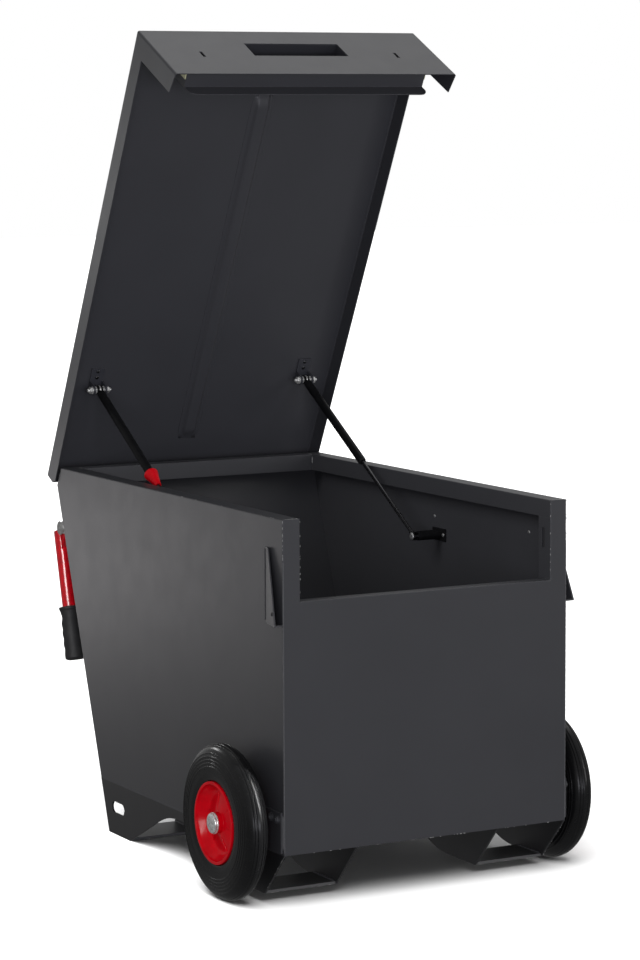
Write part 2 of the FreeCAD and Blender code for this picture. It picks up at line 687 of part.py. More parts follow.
def make_hinge():
    leaf = Piece("hinge_leaf_box", home_box())
    wall = "-hinge_off"
    flat = [
        leaning("0.6 * knuckle_r", wall),
        leaning("leaf_height", wall),
        leaning("leaf_height", f"{wall} + leaf_sheet"),
        leaning("0.6 * knuckle_r", f"{wall} + leaf_sheet"),
    ]
    leaf.pad("YZ", [flat], "-hinge_half", "2 * hinge_half")
    tab = [
        leaning("-0.3 * knuckle_r", wall),
        leaning("0.8 * knuckle_r", wall),
        leaning("0.8 * knuckle_r", "-0.6 * knuckle_r"),
        leaning("-0.3 * knuckle_r", "-0.6 * knuckle_r"),
    ]
    ring = circle("hinge_y", "hinge_z", "knuckle_r")
    for step in range(0, 9, 2):
        start = f"-hinge_half + {step} * knuckle + knuckle_gap / 2"
        leaf.pad("YZ", [tab], start, "knuckle - knuckle_gap")
        leaf.pad("YZ", [ring], start, "knuckle - knuckle_gap")
    leaf.cut("YZ", [circle("hinge_y", "hinge_z", "hinge_pin_r")], "-hinge_half", "2 * hinge_half")

    pin = Piece("hinge_pin", home_box())
    pin.pad("YZ", [circle("hinge_y", "hinge_z", "hinge_pin_r")], "-hinge_half", "2 * hinge_half")

    leaf = Piece("hinge_leaf_lid", home_lid())
    back = "lid_rear - lid_sheet"
    flat = rect(f"{back} - leaf_sheet", back, "hinge_z + knuckle_r + knuckle_gap", "lid_in - lid_fold_r")
    leaf.pad("YZ", [flat], "-hinge_half", "2 * hinge_half")
    tab = rect(f"{back} - leaf_sheet", back, "hinge_z + hinge_pin_r + 1", "hinge_z + 2 * knuckle_r")
    for step in range(1, 9, 2):
        start = f"-hinge_half + {step} * knuckle + knuckle_gap / 2"
        leaf.pad("YZ", [tab], start, "knuckle - knuckle_gap")
        leaf.pad("YZ", [ring], start, "knuckle - knuckle_gap")
    leaf.cut("YZ", [circle("hinge_y", "hinge_z", "hinge_pin_r + fit")], "-hinge_half", "2 * hinge_half")


def folded_edges(half, front, back, top, inset=0):
    """A test for the six edges where the lid's sheet folds, a stated distance inside its faces."""
    half, top = size(half) - inset, size(top) - inset
    front, back = size(front) + inset, size(back) - inset
    along, level, upright = Vector(0, 1, 0), Vector(1, 0, 0), Vector(0, 0, 1)

    def chosen(edge):
        return (
            straight_edge(edge, level, y=front, z=top)
            or straight_edge(edge, level, y=back, z=top)
            or any(
                straight_edge(edge, along, x=side * half, z=top)
                or straight_edge(edge, upright, x=side * half, y=front)
                or straight_edge(edge, upright, x=side * half, y=back)
                for side in SIDES.values()
            )
        )

    return chosen


def make_lid():
    lid = Piece("lid_shell", home_lid())
    low = "lid_top - flap_depth"
    outer = rect("lid_front", "lid_rear", low, "lid_top")
    lid.pad("YZ", [outer], "-lid_half", "2 * lid_half")
    inner = rect("flap_in", "lid_rear - lid_sheet", low, "lid_in")
    lid.cut("YZ", [inner], "-lid_half + lid_sheet", "2 * (lid_half - lid_sheet)")
    faces = ("lid_half", "lid_front", "lid_rear", "lid_top")
    lid.soften("lid_fold_r", folded_edges(*faces, size("lid_sheet")))
    lid.soften("lid_fold_r + lid_sheet", folded_edges(*faces))
    reach = "lid_front + flange_reach"
    waste = [
        ("lid_front", low),
        (reach, f"{low} + flap_mitre"),
        (reach, "lid_top - flange_depth"),
        ("lid_rear - rear_mitre", "lid_top - flange_depth"),
        ("lid_rear", "lid_top - rear_flange"),
        ("lid_rear + 1", "lid_top - rear_flange"),
        ("lid_rear + 1", f"{low} - 1"),
        ("lid_front", f"{low} - 1"),
    ]
    lid.cut("YZ", [waste], "-lid_half - 1", "2 * lid_half + 2")
    window = rect("-recess_half", "recess_half", "recess_low", "recess_high")
    slots = [
        rect(f"{side} * key_x - key_slot_half", f"{side} * key_x + key_slot_half",
             "key_z - key_slot_rise", "key_z + key_slot_rise")
        for side in SIDES.values()
    ]
    lid.cut("XZ", [window] + slots, "lid_front", "lid_sheet")

    rib = Piece("lid_rib", home_lid())
    step = "lid_in - rib_sheet"
    crown = "lid_in - rib_height"
    section = [
        ("-rib_half - rib_foot", "lid_in"),
        ("-rib_half - rib_foot", step),
        ("-rib_half", step),
        ("-rib_half", crown),
        ("rib_half", crown),
        ("rib_half", step),
        ("rib_half + rib_foot", step),
        ("rib_half + rib_foot", "lid_in"),
        ("rib_half - rib_sheet", "lid_in"),
        ("rib_half - rib_sheet", f"{crown} + rib_sheet"),
        ("-rib_half + rib_sheet", f"{crown} + rib_sheet"),
        ("-rib_half + rib_sheet", "lid_in"),
    ]
    rib.pad("XZ", [section], "rib_start", "rib_end - rib_start")


def flange_corners(half, low):
    """The two lower corner edges along Y of a plate that reaches half to each side."""
    along = Vector(0, 1, 0)
    return lambda edge: any(straight_edge(edge, along, x=side * half, z=low) for side in SIDES.values())


def make_locks():
    housing = Piece("lock_housing", home_lid())
    inner = "housing_rear - housing_sheet"
    floor = rect("flap_in", "housing_rear", "housing_low", "housing_low + housing_sheet")
    housing.pad("YZ", [floor], "-housing_half", "2 * housing_half")
    wall = rect("-housing_half", "housing_half", "housing_low - lip_drop", "lid_in")
    housing.pad("XZ", [wall], inner, "housing_sheet")
    housing.soften("lip_r", flange_corners(size("housing_half"), size("housing_low") - size("lip_drop")))
    for side in SIDES.values():
        start, length = across(side, "housing_half - housing_sheet", "housing_half")
        end = rect("flap_in", "housing_rear", "housing_low", "lid_in - lid_fold_r")
        housing.pad("YZ", [end], start, length)
        housing.cut("YZ", [bolt_outline("slide_fit")], start, length)

    tray = Piece("hand_recess", home_lid())
    edge = "tray_sheet"
    outer = rect(f"-recess_half - {edge}", f"recess_half + {edge}",
                 f"recess_low - {edge}", f"recess_high + {edge}")
    hollow = rect("-recess_half", "recess_half", "recess_low", "recess_high")
    tray.pad("XZ", [outer], "flap_in", "recess_deep")
    tray.cut("XZ", [hollow], "flap_in", "recess_deep - tray_sheet")

    barrels = []
    for word, side in SIDES.items():
        case = Piece(f"lock_case_{word}", home_lid())
        block = rect("flap_in", "case_rear", "case_low", "case_high")
        case.pad("YZ", [block], *across(side, "case_in", "case_out"))
        bore = circle(f"{side} * key_x", "key_z", "barrel_r")
        case.cut("XZ", [bore], "flap_in", "barrel_deep")
        channel = bolt_outline("slide_fit")
        case.cut("YZ", [channel], *across(side, "case_in + case_wall", "case_out"))

        bolt = Piece(f"lock_bolt_{word}", home_lid())
        bolt.pad("YZ", [bolt_outline("0")], *across(side, "housing_half - bolt_length", "housing_half"))

        barrel = Piece(f"blank_barrel_{word}", {})
        barrel.pad("XZ", [bore], "flap_in", "barrel_deep")
        way = rect(f"{side} * key_x - key_slot_half / 2", f"{side} * key_x + key_slot_half / 2",
                   "key_z - 0.7 * barrel_r", "key_z + 0.7 * barrel_r")
        barrel.cut("XZ", [way], "flap_in", "barrel_deep / 2")
        Piece.made.pop(f"blank_barrel_{word}")
        barrels.append(barrel.body)
    group("lock_barrels", barrels, home_lid())


def make_lid_brackets():
    studs = []
    screws = []
    for word, side in SIDES.items():
        middle = f"({side} * strut_x)"
        bracket = Piece(f"lid_bracket_{word}", home_lid())
        base = rect(f"{middle} - arm_out", f"{middle} + arm_out",
                    "strut_top_y - arm_r - 2 * screw_pitch", "strut_top_y + arm_r")
        bracket.pad("XY", [base], "lid_in - arm_sheet", "arm_sheet")
        arm = rect("strut_top_y - arm_r", "strut_top_y + arm_r", "strut_top_z", "lid_in")
        ring = circle("strut_top_y", "strut_top_z", "arm_r")
        bore = circle("strut_top_y", "strut_top_z", "stud_r")
        for start in (f"{middle} - arm_out", f"{middle} + arm_in"):
            bracket.pad("YZ", [arm], start, "arm_sheet")
            bracket.pad("YZ", [ring], start, "arm_sheet")
            bracket.cut("YZ", [bore], start, "arm_sheet")
        at = ("strut_top_y", "strut_top_z")
        for hand in (-1, 1):
            inner = mirrored(hand, "eye_half + pivot_gap", "arm_out + stud_reach - eye_half - pivot_gap")
            collar = mirrored(hand, "eye_half + pivot_gap", "arm_in - eye_half - pivot_gap")
            nut = mirrored(hand, "arm_out", "nut_height")
            reach = "arm_out + stud_reach - eye_half - pivot_gap"
            blanks = [
                round_bar(f"{middle} + {inner}", *at, "stud_r", reach),
                round_bar(f"{middle} + {collar}", *at, "nut_r", "arm_in - eye_half - pivot_gap"),
                hexagon(f"{middle} + {nut}", *at, "nut_r", "nut_height"),
            ]
            studs += blanks
        for step in (1, 2):
            y = f"strut_top_y - arm_r - {step} * screw_pitch + screw_pitch / 2"
            z = "lid_in - arm_sheet - rivet_h"
            screws.append(round_bar(middle, y, z, "rivet_r", "rivet_h", "Z"))
    group("lid_bracket_studs", studs, home_lid())
    group("lid_bracket_screws", screws, home_lid())


def make_wall_brackets():
    pins = []
    for word, side in SIDES.items():
        bracket = Piece(f"wall_bracket_{word}", home_box())
        half = "wall_plate_half"
        plate = rect(f"strut_foot_y - {half}", f"strut_foot_y + {half}",
                     "strut_foot_z - boss_r - 3", "strut_foot_z + boss_r + 3")
        bracket.pad("YZ", [plate], *across(side, "wall_in - arm_sheet", "wall_in"))
        seat = "strut_x + eye_half + pivot_gap"
        boss = circle("strut_foot_y", "strut_foot_z", "boss_r")
        bracket.pad("YZ", [boss], *across(side, seat, "wall_in"))
        bore = circle("strut_foot_y", "strut_foot_z", "stud_r")
        bracket.cut("YZ", [bore], *across(side, seat, f"{seat} + 2 * nut_height"))
        head = "strut_x - eye_half - pivot_gap"
        at = ("strut_foot_y", "strut_foot_z")
        shank = "2 * (eye_half + pivot_gap) + 2 * nut_height"
        pins.append(round_bar(mirrored(side, head, shank), *at, "stud_r", shank))
        pins.append(round_bar(mirrored(side, f"{head} - arm_sheet", "arm_sheet"), *at, "nut_r", "arm_sheet"))
        for sign in "-+":
            y = f"strut_foot_y {sign} (wall_plate_half - 2 * rivet_r)"
            start = mirrored(side, "wall_in - arm_sheet - rivet_h", "rivet_h")
            pins.append(round_bar(start, y, "strut_foot_z", "rivet_r", "rivet_h"))
    group("wall_bracket_pins", pins, home_box())


def make_struts():
    for word, side in SIDES.items():
        rod = Piece(f"strut_rod_{word}", home_strut(side))
        eye = circle("0", "0", "eye_r")
        rod.pad("YZ", [eye], "-eye_half", "2 * eye_half")
        bore_in = "tube_r - tube_wall - fit"
        shaft = [
            ("0", "eye_r - 2"),
            ("neck_r", "eye_r - 2"),
            ("neck_r", "eye_r + 5"),
            ("rod_r", "eye_r + 6"),
            ("rod_r", "rod_length - piston_length"),
            (bore_in, "rod_length - piston_length"),
            (bore_in, "rod_length"),
            ("0", "rod_length"),
        ]
        rod.spin("XY", [shaft], "V_Axis")
        rod.cut("YZ", [circle("0", "0", "stud_r + fit")], "-eye_half", "2 * eye_half")

        tube = Piece(f"strut_tube_{word}", home_strut(side))
        guide = "rod_r + fit"
        inner = "tube_r - tube_wall"
        barrel = [
            (guide, "tube_start"),
            ("tube_r - 1", "tube_start"),
            ("tube_r", "tube_start + 1"),
            ("tube_r", "tube_end - 2"),
            ("tube_r - 2", "tube_end"),
            ("neck_r", "tube_end"),
            ("neck_r", "strut_reach - eye_r + 2"),
            ("0", "strut_reach - eye_r + 2"),
            ("0", "tube_end - tube_plug"),
            (inner, "tube_end - tube_plug"),
            (inner, "tube_start + tube_plug"),
            (guide, "tube_start + tube_plug"),
        ]
        tube.spin("XY", [barrel], "V_Axis")
        tube.pad("YZ", [circle("strut_reach", "0", "eye_r")], "-eye_half", "2 * eye_half")

    sleeve = Piece("strut_release", home_strut(SIDES["left"]))
    gap = "rod_r + 2 * fit"
    outline = [
        (gap, "tube_start - release_length"),
        ("release_tip_r", "tube_start - release_length"),
        ("release_r - 1", "tube_start - release_cover"),
        ("release_r", "tube_start"),
        ("release_r - 1", "tube_start + release_cover"),
        ("tube_r + 2 * fit", "tube_start + release_cover"),
        ("tube_r + 2 * fit", "tube_start"),
        (gap, "tube_start"),
    ]
    sleeve.spin("XY", [outline], "V_Axis")


def tyre_outline():
    """Half of the tyre's outline: share of the half width, share of the section height."""
    points = [(0.84, 0.0), (0.90, 0.05), (0.97, 0.22), (1.0, 0.40)]
    for step in range(5):
        at = 0.50 + 0.075 * step
        width = 1.0 - 0.5 * (at - 0.42) ** 1.7
        points += [(width, at), (width - 0.045, at + 0.012)]
        points += [(width - 0.045, at + 0.030), (width - 0.01, at + 0.042)]
    points += [(0.82, 0.885), (0.72, 0.935)]
    for step in range(3):
        at = 0.66 - 0.11 * step
        height = 1.0 - 0.33 * (at - 0.26) ** 2
        points += [(at, height), (at - 0.02, height - 0.022)]
        points += [(at - 0.05, height - 0.022), (at - 0.07, height)]
    points.append((0.30, 1.0))
    return points


def make_wheels():
    bolts = []
    rings = []
    for word, side in SIDES.items():
        tyre = Piece(f"tyre_{word}", home_wheel(side))
        half = tyre_outline()
        section = [
            (f"tyre_half * {wide:.4f}", f"hub_r + (wheel_r - hub_r) * {high:.4f}")
            for wide, high in half
        ]
        section += [
            (f"-tyre_half * {wide:.4f}", f"hub_r + (wheel_r - hub_r) * {high:.4f}")
            for wide, high in reversed(half)
        ]
        tyre.spin("XY", [section], "H_Axis")

        hub = Piece(f"wheel_hub_{word}", home_wheel(side))
        rim = "hub_r - hub_wall"
        inner_boss = "bush_r + boss_wall"
        profile = [
            ("boss_out", "bush_r"),
            ("boss_out", "boss_seat"),
            ("cap_in", "boss_seat"),
            ("cap_in", "cap_r + 3"),
            ("web_half", "web_r"),
            ("lip_half - 3", rim),
            ("lip_half", f"{rim} + 1"),
            ("lip_half", "hub_r"),
            ("-lip_half", "hub_r"),
            ("-lip_half", rim),
            ("-web_half - 1", "web_r"),
            ("-web_half", inner_boss),
            ("-boss_in", inner_boss),
            ("-boss_in", "bush_r"),
        ]
        hub.spin("XY", [profile], "H_Axis")
        blade = [
            ("web_half - 1", "web_r - 1"),
            ("cap_in", "cap_r + 1"),
            ("cap_in + 1", "cap_r + 2.5"),
            ("web_half + 6", "web_r + 1"),
            ("web_half + 6", "web_r + 5"),
        ]
        rib = hub.pad("XY", [blade], "-hub_rib_half", "2 * hub_rib_half")
        pattern = hub.feature("PartDesign::PolarPattern", "ribs")
        pattern.Originals = [rib]
        pattern.Axis = ([item for item in hub.body.Origin.OriginFeatures if item.Role == "X_Axis"][0], [""])
        pattern.Angle = 360
        pattern.setExpression("Occurrences", bind("rib_count"))
        hub.body.Tip = pattern

        bush = Piece(f"wheel_bush_{word}", home_wheel(side))
        bush.spin("XY", [rect("-boss_in", "boss_out", "axle_r + fit", "bush_r")], "H_Axis")

        cap = Piece(f"wheel_cap_{word}", home_wheel(side))
        shell = [
            ("cap_in", "boss_seat"),
            ("cap_in", "cap_r"),
            ("cap_out - 3.5", "cap_r"),
            ("cap_out - 1.2", "cap_r - 1.5"),
            ("cap_out", "cap_r - 6"),
            ("cap_out + 0.6", "0"),
            ("cap_out - cap_wall", "0"),
            ("cap_out - cap_wall - 1", "boss_seat"),
        ]
        cap.spin("XY", [shell], "H_Axis")

        axle = Piece(f"axle_plate_{word}", home_wheel(side))
        shaft = [
            ("plate_out", "0"),
            ("plate_out", "collar_r"),
            ("-boss_in - collar_gap", "collar_r"),
            ("-boss_in - collar_gap", "axle_r"),
            ("axle_out - 1", "axle_r"),
            ("axle_out", "axle_r - 1"),
            ("axle_out", "0"),
        ]
        axle.spin("XY", [shaft], "H_Axis")
        flat = rect("-plate_half", "plate_half", "plate_low - wheel_r", "plate_high - wheel_r")
        axle.pad("YZ", [flat], "plate_out - plate_sheet", "plate_sheet")
        holes = [circle(y, z, "plate_bolt_r") for y, z in plate_bolts("0", "wheel_r")]
        axle.cut("YZ", holes, "plate_out - plate_sheet", "plate_sheet")

        ring = Piece(f"blank_ring_{word}", home_wheel(side))
        start = "boss_out + ring_gap"
        ring.spin("XY", [rect(start, f"{start} + ring_width", "axle_r", "ring_r")], "H_Axis")
        Piece.made.pop(f"blank_ring_{word}")
        rings.append(ring.body)

        for y, z in plate_bolts():
            shank = "sheet + plate_sheet + bolt_head_h + 2"
            low = "wall_in - bolt_head_h - 2"
            bolts.append(round_bar(mirrored(side, low, shank), y, z, "plate_bolt_r", shank))
            for start in ("half_width + plate_sheet", "wall_in - bolt_head_h"):
                place = mirrored(side, start, "bolt_head_h")
                bolts.append(hexagon(place, y, z, "bolt_head_r", "bolt_head_h"))
    group("axle_rings", rings, {})
    group("axle_plate_bolts", bolts, home_box())


def make_handles():
    pins = []
    for word, side in SIDES.items():
        tube = Piece(f"handle_tube_{word}", home_handle(side))
        ring = [circle("0", "handle_offset", "handle_tube_r")]
        tube.pad("XY", ring, "-handle_length", "handle_length - handle_top")
        reach = "handle_offset - 0.75 * handle_tube_r"
        lug = [("0", "lug_r"), (reach, "-handle_top"), (reach, "-lug_drop"), ("0", "-lug_r")]
        tube.pad("YZ", [lug], "-lug_half", "2 * lug_half")
        tube.pad("YZ", [circle("0", "0", "lug_r")], "-lug_half", "2 * lug_half")
        hollow = [circle("0", "handle_offset", "handle_tube_r - handle_wall")]
        tube.cut("XY", hollow, "-handle_length", "handle_length - handle_top - handle_wall")
        tube.cut("YZ", [circle("0", "0", "handle_pin_r + fit")], "-lug_half", "2 * lug_half")

        grip = Piece(f"handle_grip_{word}", {
            "x": f"{side} * handle_x",
            "y": "front_y + handle_y + handle_offset * cos(hang)",
            "z": "handle_z - handle_offset * sin(hang)",
            "turn": "-hang",
        })
        end = "-handle_length - grip_wall"
        outside = [("grip_r - 1", end), ("grip_r", f"{end} + 2")]
        for step in range(1, 12):
            share = step / 12
            hollow_share = 0.5 - 0.5 * math.cos(2 * math.pi * 3 * share)
            outside.append((
                f"grip_r - {0.8 * share:.3f} - grip_waist * {hollow_share:.3f}",
                f"{end} + 2 + (handle_length + grip_wall - grip_start - 4) * {share:.4f}",
            ))
        outside += [("grip_r", "-grip_start - 2"), ("grip_r - 1", "-grip_start")]
        inside = [
            ("handle_tube_r", "-grip_start"),
            ("handle_tube_r", "-handle_length"),
            ("0", "-handle_length"),
            ("0", end),
        ]
        grip.spin("XZ", [outside + inside], "V_Axis")

        bracket = Piece(f"handle_bracket_{word}", home_handle(side, "-wall_lean"))
        foot = rect("-handle_stand", "-handle_stand + foot_sheet", "-foot_half", "foot_half")
        bracket.pad("YZ", [foot], "-cheek_out - foot_rim", "2 * (cheek_out + foot_rim)")
        cheek = rect("-handle_stand", "0", "-cheek_r", "cheek_r")
        for start in ("-cheek_out", "cheek_in"):
            bracket.pad("YZ", [cheek], start, "cheek_sheet")
            bracket.pad("YZ", [circle("0", "0", "cheek_r")], start, "cheek_sheet")
            bracket.cut("YZ", [circle("0", "0", "handle_pin_r")], start, "cheek_sheet")
        at = ("handle_y", "handle_z")
        middle = f"({side} * handle_x)"
        pins.append(round_bar(f"{middle} - cheek_out", *at, "handle_pin_r", "2 * cheek_out"))
        for hand in (-1, 1):
            start = mirrored(hand, "cheek_out", "pin_head_h")
            pins.append(round_bar(f"{middle} + {start}", *at, "pin_head_r", "pin_head_h"))
    group("handle_pins", pins, home_box())


def export():
    """Check every object and write each named piece to its own file."""
    document.recompute()
    faults = [item.Label for item in document.Objects if {"Invalid", "Error"} & set(item.State)]
    os.makedirs("parts", exist_ok=True)
    for label, item in Piece.made.items():
        shape = item.Shape
        if shape.isNull() or not shape.isValid() or not shape.Solids:
            faults.append(label)
    if faults:
        raise RuntimeError(f"faulty objects: {sorted(set(faults))}")
    for label, item in Piece.made.items():
        item.Shape.exportStep(f"parts/{label}.step")
    print(f"{len(Piece.made)} pieces written")


make_box()
make_skids()
make_guards()
make_hinge()
make_lid()
make_locks()
make_lid_brackets()
make_wall_brackets()
make_struts()
make_wheels()
make_handles()
export()
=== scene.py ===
"""The looks of a mobile tool box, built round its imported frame.

Lengths are metres: X runs across the box, Y from front to rear, Z up from the floor.
A piece is worked out in local coordinates and moved to its seat in the frame.
"""

import json
import logging
import math
from dataclasses import dataclass, field
from enum import Enum
from typing import Sequence

import bpy
import numpy as np
from mathutils import Matrix, Vector

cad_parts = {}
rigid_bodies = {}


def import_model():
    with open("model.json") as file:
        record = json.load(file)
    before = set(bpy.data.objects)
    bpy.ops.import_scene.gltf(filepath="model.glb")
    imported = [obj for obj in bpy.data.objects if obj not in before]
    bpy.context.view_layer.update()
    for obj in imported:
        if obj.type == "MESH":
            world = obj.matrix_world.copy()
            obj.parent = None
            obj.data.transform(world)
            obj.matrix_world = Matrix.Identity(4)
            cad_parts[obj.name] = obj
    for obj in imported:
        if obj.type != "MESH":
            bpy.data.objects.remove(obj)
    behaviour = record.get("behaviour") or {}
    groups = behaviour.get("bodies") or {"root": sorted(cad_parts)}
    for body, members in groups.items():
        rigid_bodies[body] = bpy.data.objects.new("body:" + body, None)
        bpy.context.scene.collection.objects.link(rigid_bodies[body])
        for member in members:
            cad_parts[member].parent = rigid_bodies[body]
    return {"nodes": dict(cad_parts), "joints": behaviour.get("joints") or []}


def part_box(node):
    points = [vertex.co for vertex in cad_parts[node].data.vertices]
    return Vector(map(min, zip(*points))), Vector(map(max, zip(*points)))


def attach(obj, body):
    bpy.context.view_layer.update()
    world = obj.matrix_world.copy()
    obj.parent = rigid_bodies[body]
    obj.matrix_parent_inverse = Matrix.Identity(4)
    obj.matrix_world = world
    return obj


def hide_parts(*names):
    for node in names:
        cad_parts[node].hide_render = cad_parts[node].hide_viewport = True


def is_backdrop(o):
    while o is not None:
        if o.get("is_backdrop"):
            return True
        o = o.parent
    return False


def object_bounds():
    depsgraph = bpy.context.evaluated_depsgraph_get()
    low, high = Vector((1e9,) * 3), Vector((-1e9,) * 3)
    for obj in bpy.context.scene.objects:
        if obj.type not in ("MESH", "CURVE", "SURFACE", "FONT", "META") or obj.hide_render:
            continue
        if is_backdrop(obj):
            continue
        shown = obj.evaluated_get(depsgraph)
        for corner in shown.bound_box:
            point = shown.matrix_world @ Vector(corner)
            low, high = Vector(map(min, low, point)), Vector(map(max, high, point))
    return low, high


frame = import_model()

LOG = logging.getLogger("tool_box")
JOINTS = {joint["name"]: joint for joint in frame["joints"]}
MM = 0.001
TURN = 2 * math.pi

Colour = tuple[float, float, float]
Point = tuple[float, float, float]
Seam = tuple[Sequence[float], Sequence[float], float, int]
ORIGIN: Point = (0.0, 0.0, 0.0)
INWARD = np.array([-1, 1, 1])


class Side(Enum):
    """The two sides of the box, with the sign of X on each."""

    LEFT = -1
    RIGHT = 1

    @property
    def word(self) -> str:
        """The side's name as the nodes and bodies spell it."""
        return self.name.lower()

    @property
    def mirror(self) -> np.ndarray:
        """The factors that carry a shape of the right side to this one."""
        return np.array([self.value, 1, 1])


class Axis(Enum):
    """The line that a turned shape is made about, as the shift of its coordinates."""

    X = 0
    Y = 1
    Z = 2


@dataclass(frozen=True)
class Seat:
    """A place in the frame that local points are moved to.

    A local point is taken from the centre, turned about X, turned half round Z where the seat
    is flipped, and moved to the origin.
    """

    origin: Point = ORIGIN
    turn: float = 0.0
    flip: bool = False
    centre: Point = ORIGIN

    def put(self, points: np.ndarray) -> np.ndarray:
        """Local points moved into the frame.

        Args:
            points: an array of any shape whose last axis is x, y, z.

        Returns:
            The moved points, in an array of the same shape.
        """
        x, y, z = np.moveaxis(points - np.array(self.centre), -1, 0)
        cosine, sine = math.cos(self.turn), math.sin(self.turn)
        y, z = y * cosine - z * sine, y * sine + z * cosine
        if self.flip:
            x, y = -x, -y
        return np.stack([x, y, z], axis=-1) + np.array(self.origin)

    def take(self, points: np.ndarray) -> np.ndarray:
        """Frame points moved back into local coordinates.

        Args:
            points: an array of any shape whose last axis is x, y, z.

        Returns:
            The local points, in an array of the same shape.
        """
        x, y, z = np.moveaxis(points - np.array(self.origin), -1, 0)
        if self.flip:
            x, y = -x, -y
        cosine, sine = math.cos(self.turn), math.sin(self.turn)
        y, z = y * cosine + z * sine, z * cosine - y * sine
        return np.stack([x, y, z], axis=-1) + np.array(self.centre)

    def box(self, node: str) -> tuple[np.ndarray, np.ndarray]:
        """A node's lowest and highest corners in local coordinates.

        Args:
            node: the node's name.

        Returns:
            The lowest and the highest corner.
        """
        mesh = frame["nodes"][node].data
        cloud = np.empty(3 * len(mesh.vertices))
        mesh.vertices.foreach_get("co", cloud)
        local = self.take(cloud.reshape(-1, 3))
        return local.min(axis=0), local.max(axis=0)


class Meshwork:
    """Closed surfaces gathered from grids of points and made into one piece."""

    def __init__(self) -> None:
        """Start with no points and no faces."""
        self.clouds: list[np.ndarray] = []
        self.faces: list[list[int]] = []
        self.total = 0

    def add(self, grid: np.ndarray, loop: bool = False) -> "Meshwork":
        """Add one closed surface.

        The grid's columns go round, so the last column joins the first. Its first and last rows
        are closed to their middles, or joined to each other. A surface whose signed volume is
        negative has its faces turned round, so that all faces point outwards.

        Args:
            grid: points as rows, columns and x, y, z.
            loop: join the last row to the first instead of closing the ends.

        Returns:
            This meshwork, so that calls can follow each other.
        """
        rows, columns = grid.shape[:2]
        index = np.arange(rows * columns).reshape(rows, columns)
        index = np.hstack([index, index[:, :1]])
        if loop:
            index = np.vstack([index, index[:1]])
        quads = np.stack([index[:-1, :-1], index[:-1, 1:], index[1:, 1:], index[1:, :-1]], axis=-1)
        quads = quads.reshape(-1, 4)
        cloud = grid.reshape(-1, 3)
        fans = np.empty((0, 3), int)
        if not loop:
            first, last = len(cloud), len(cloud) + 1
            cloud = np.vstack([cloud, grid[0].mean(axis=0), grid[-1].mean(axis=0)])
            start, end = index[0], index[-1]
            fans = np.vstack([
                np.stack([start[1:], start[:-1], np.full(columns, first)], axis=-1),
                np.stack([end[:-1], end[1:], np.full(columns, last)], axis=-1),
            ])
        corners = cloud[np.vstack([quads[:, :3], quads[:, [0, 2, 3]], fans])]
        if np.einsum("ij,ij->", corners[:, 0], np.cross(corners[:, 1], corners[:, 2])) < 0:
            quads, fans = quads[:, ::-1], fans[:, ::-1]
        self.clouds.append(cloud)
        self.faces += (quads + self.total).tolist() + (fans + self.total).tolist()
        self.total += len(cloud)
        return self

    def make(
        self,
        name: str,
        finish: "Finish",
        body: str,
        seat: Seat = Seat(),
        sharp: float = 32.0,
        stands_for: Sequence[str] = (),
    ) -> bpy.types.Object:
        """Make the piece, give it its finish and let it ride on its body.

        Args:
            name: the piece's name.
            finish: the finish of the whole piece.
            body: the body that the piece moves with.
            seat: the place that the gathered points are moved to.
            sharp: the angle in degrees past which an edge between two faces stays sharp.
            stands_for: the nodes that the piece is shown instead of.

        Returns:
            The new object.
        """
        mesh = bpy.data.meshes.new(name)
        mesh.from_pydata(seat.put(np.vstack(self.clouds)).tolist(), [], self.faces)
        mesh.polygons.foreach_set("use_smooth", np.ones(len(mesh.polygons), bool))
        mesh.set_sharp_from_angle(angle=math.radians(sharp))
        mesh.materials.append(finish.material())
        piece = bpy.data.objects.new(name, mesh)
        bpy.context.scene.collection.objects.link(piece)
        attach(piece, body)
        if stands_for:
            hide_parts(*stands_for)
        LOG.info("%s rides on %s with %d faces", name, body, len(mesh.polygons))
        return piece


def rounded(corners: Sequence[Sequence[float]], radius: float | Sequence[float], closed: bool = True,
            steps: int = 5) -> np.ndarray:
    """A flat outline with soft corners.

    Each corner becomes a quadratic curve: it starts one radius before the corner, is drawn
    towards the corner, and ends one radius after it. No curve takes more than 0.48 of a side.

    Args:
        corners: the outline's corners, each two coordinates.
        radius: the distance from each corner where its curve starts, one for all or one each.
        closed: the last corner leads back to the first, otherwise both ends stay sharp.
        steps: points on each curve.

    Returns:
        The outline's points, one row each.
    """
    points = np.array(corners, float)
    before = np.roll(points, 1, axis=0) - points
    after = np.roll(points, -1, axis=0) - points
    lengths = np.minimum(np.linalg.norm(before, axis=1), np.linalg.norm(after, axis=1))
    reach = np.minimum(np.broadcast_to(np.array(radius, float), lengths.shape), 0.48 * lengths)
    start = points + before / np.linalg.norm(before, axis=1)[:, None] * reach[:, None]
    end = points + after / np.linalg.norm(after, axis=1)[:, None] * reach[:, None]
    t = np.linspace(0, 1, steps)[None, :, None]
    curves = (1 - t) ** 2 * start[:, None] + 2 * t * (1 - t) * points[:, None] + t**2 * end[:, None]
    if closed:
        return curves.reshape(-1, 2)
    return np.vstack([points[:1], curves[1:-1].reshape(-1, 2), points[-1:]])


def lathe(profile: np.ndarray, count: int = 96, axis: Axis = Axis.X, at: Point = ORIGIN) -> np.ndarray:
    """Rings turned about an axis.

    A profile point (along, radius) goes round as (along, radius times the cosine, radius times
    the sine) of the turn.

    Args:
        profile: points as along and radius, one row each.
        count: points in each ring.
        axis: the line that the rings go round.
        at: where the line's zero lies.

    Returns:
        The grid of points, a row for each profile point.
    """
    turn = np.arange(count) * TURN / count
    along, radius = profile[:, :1], profile[:, 1:]
    return wound(np.broadcast_to(along, (len(profile), count)), radius, turn, axis, at)


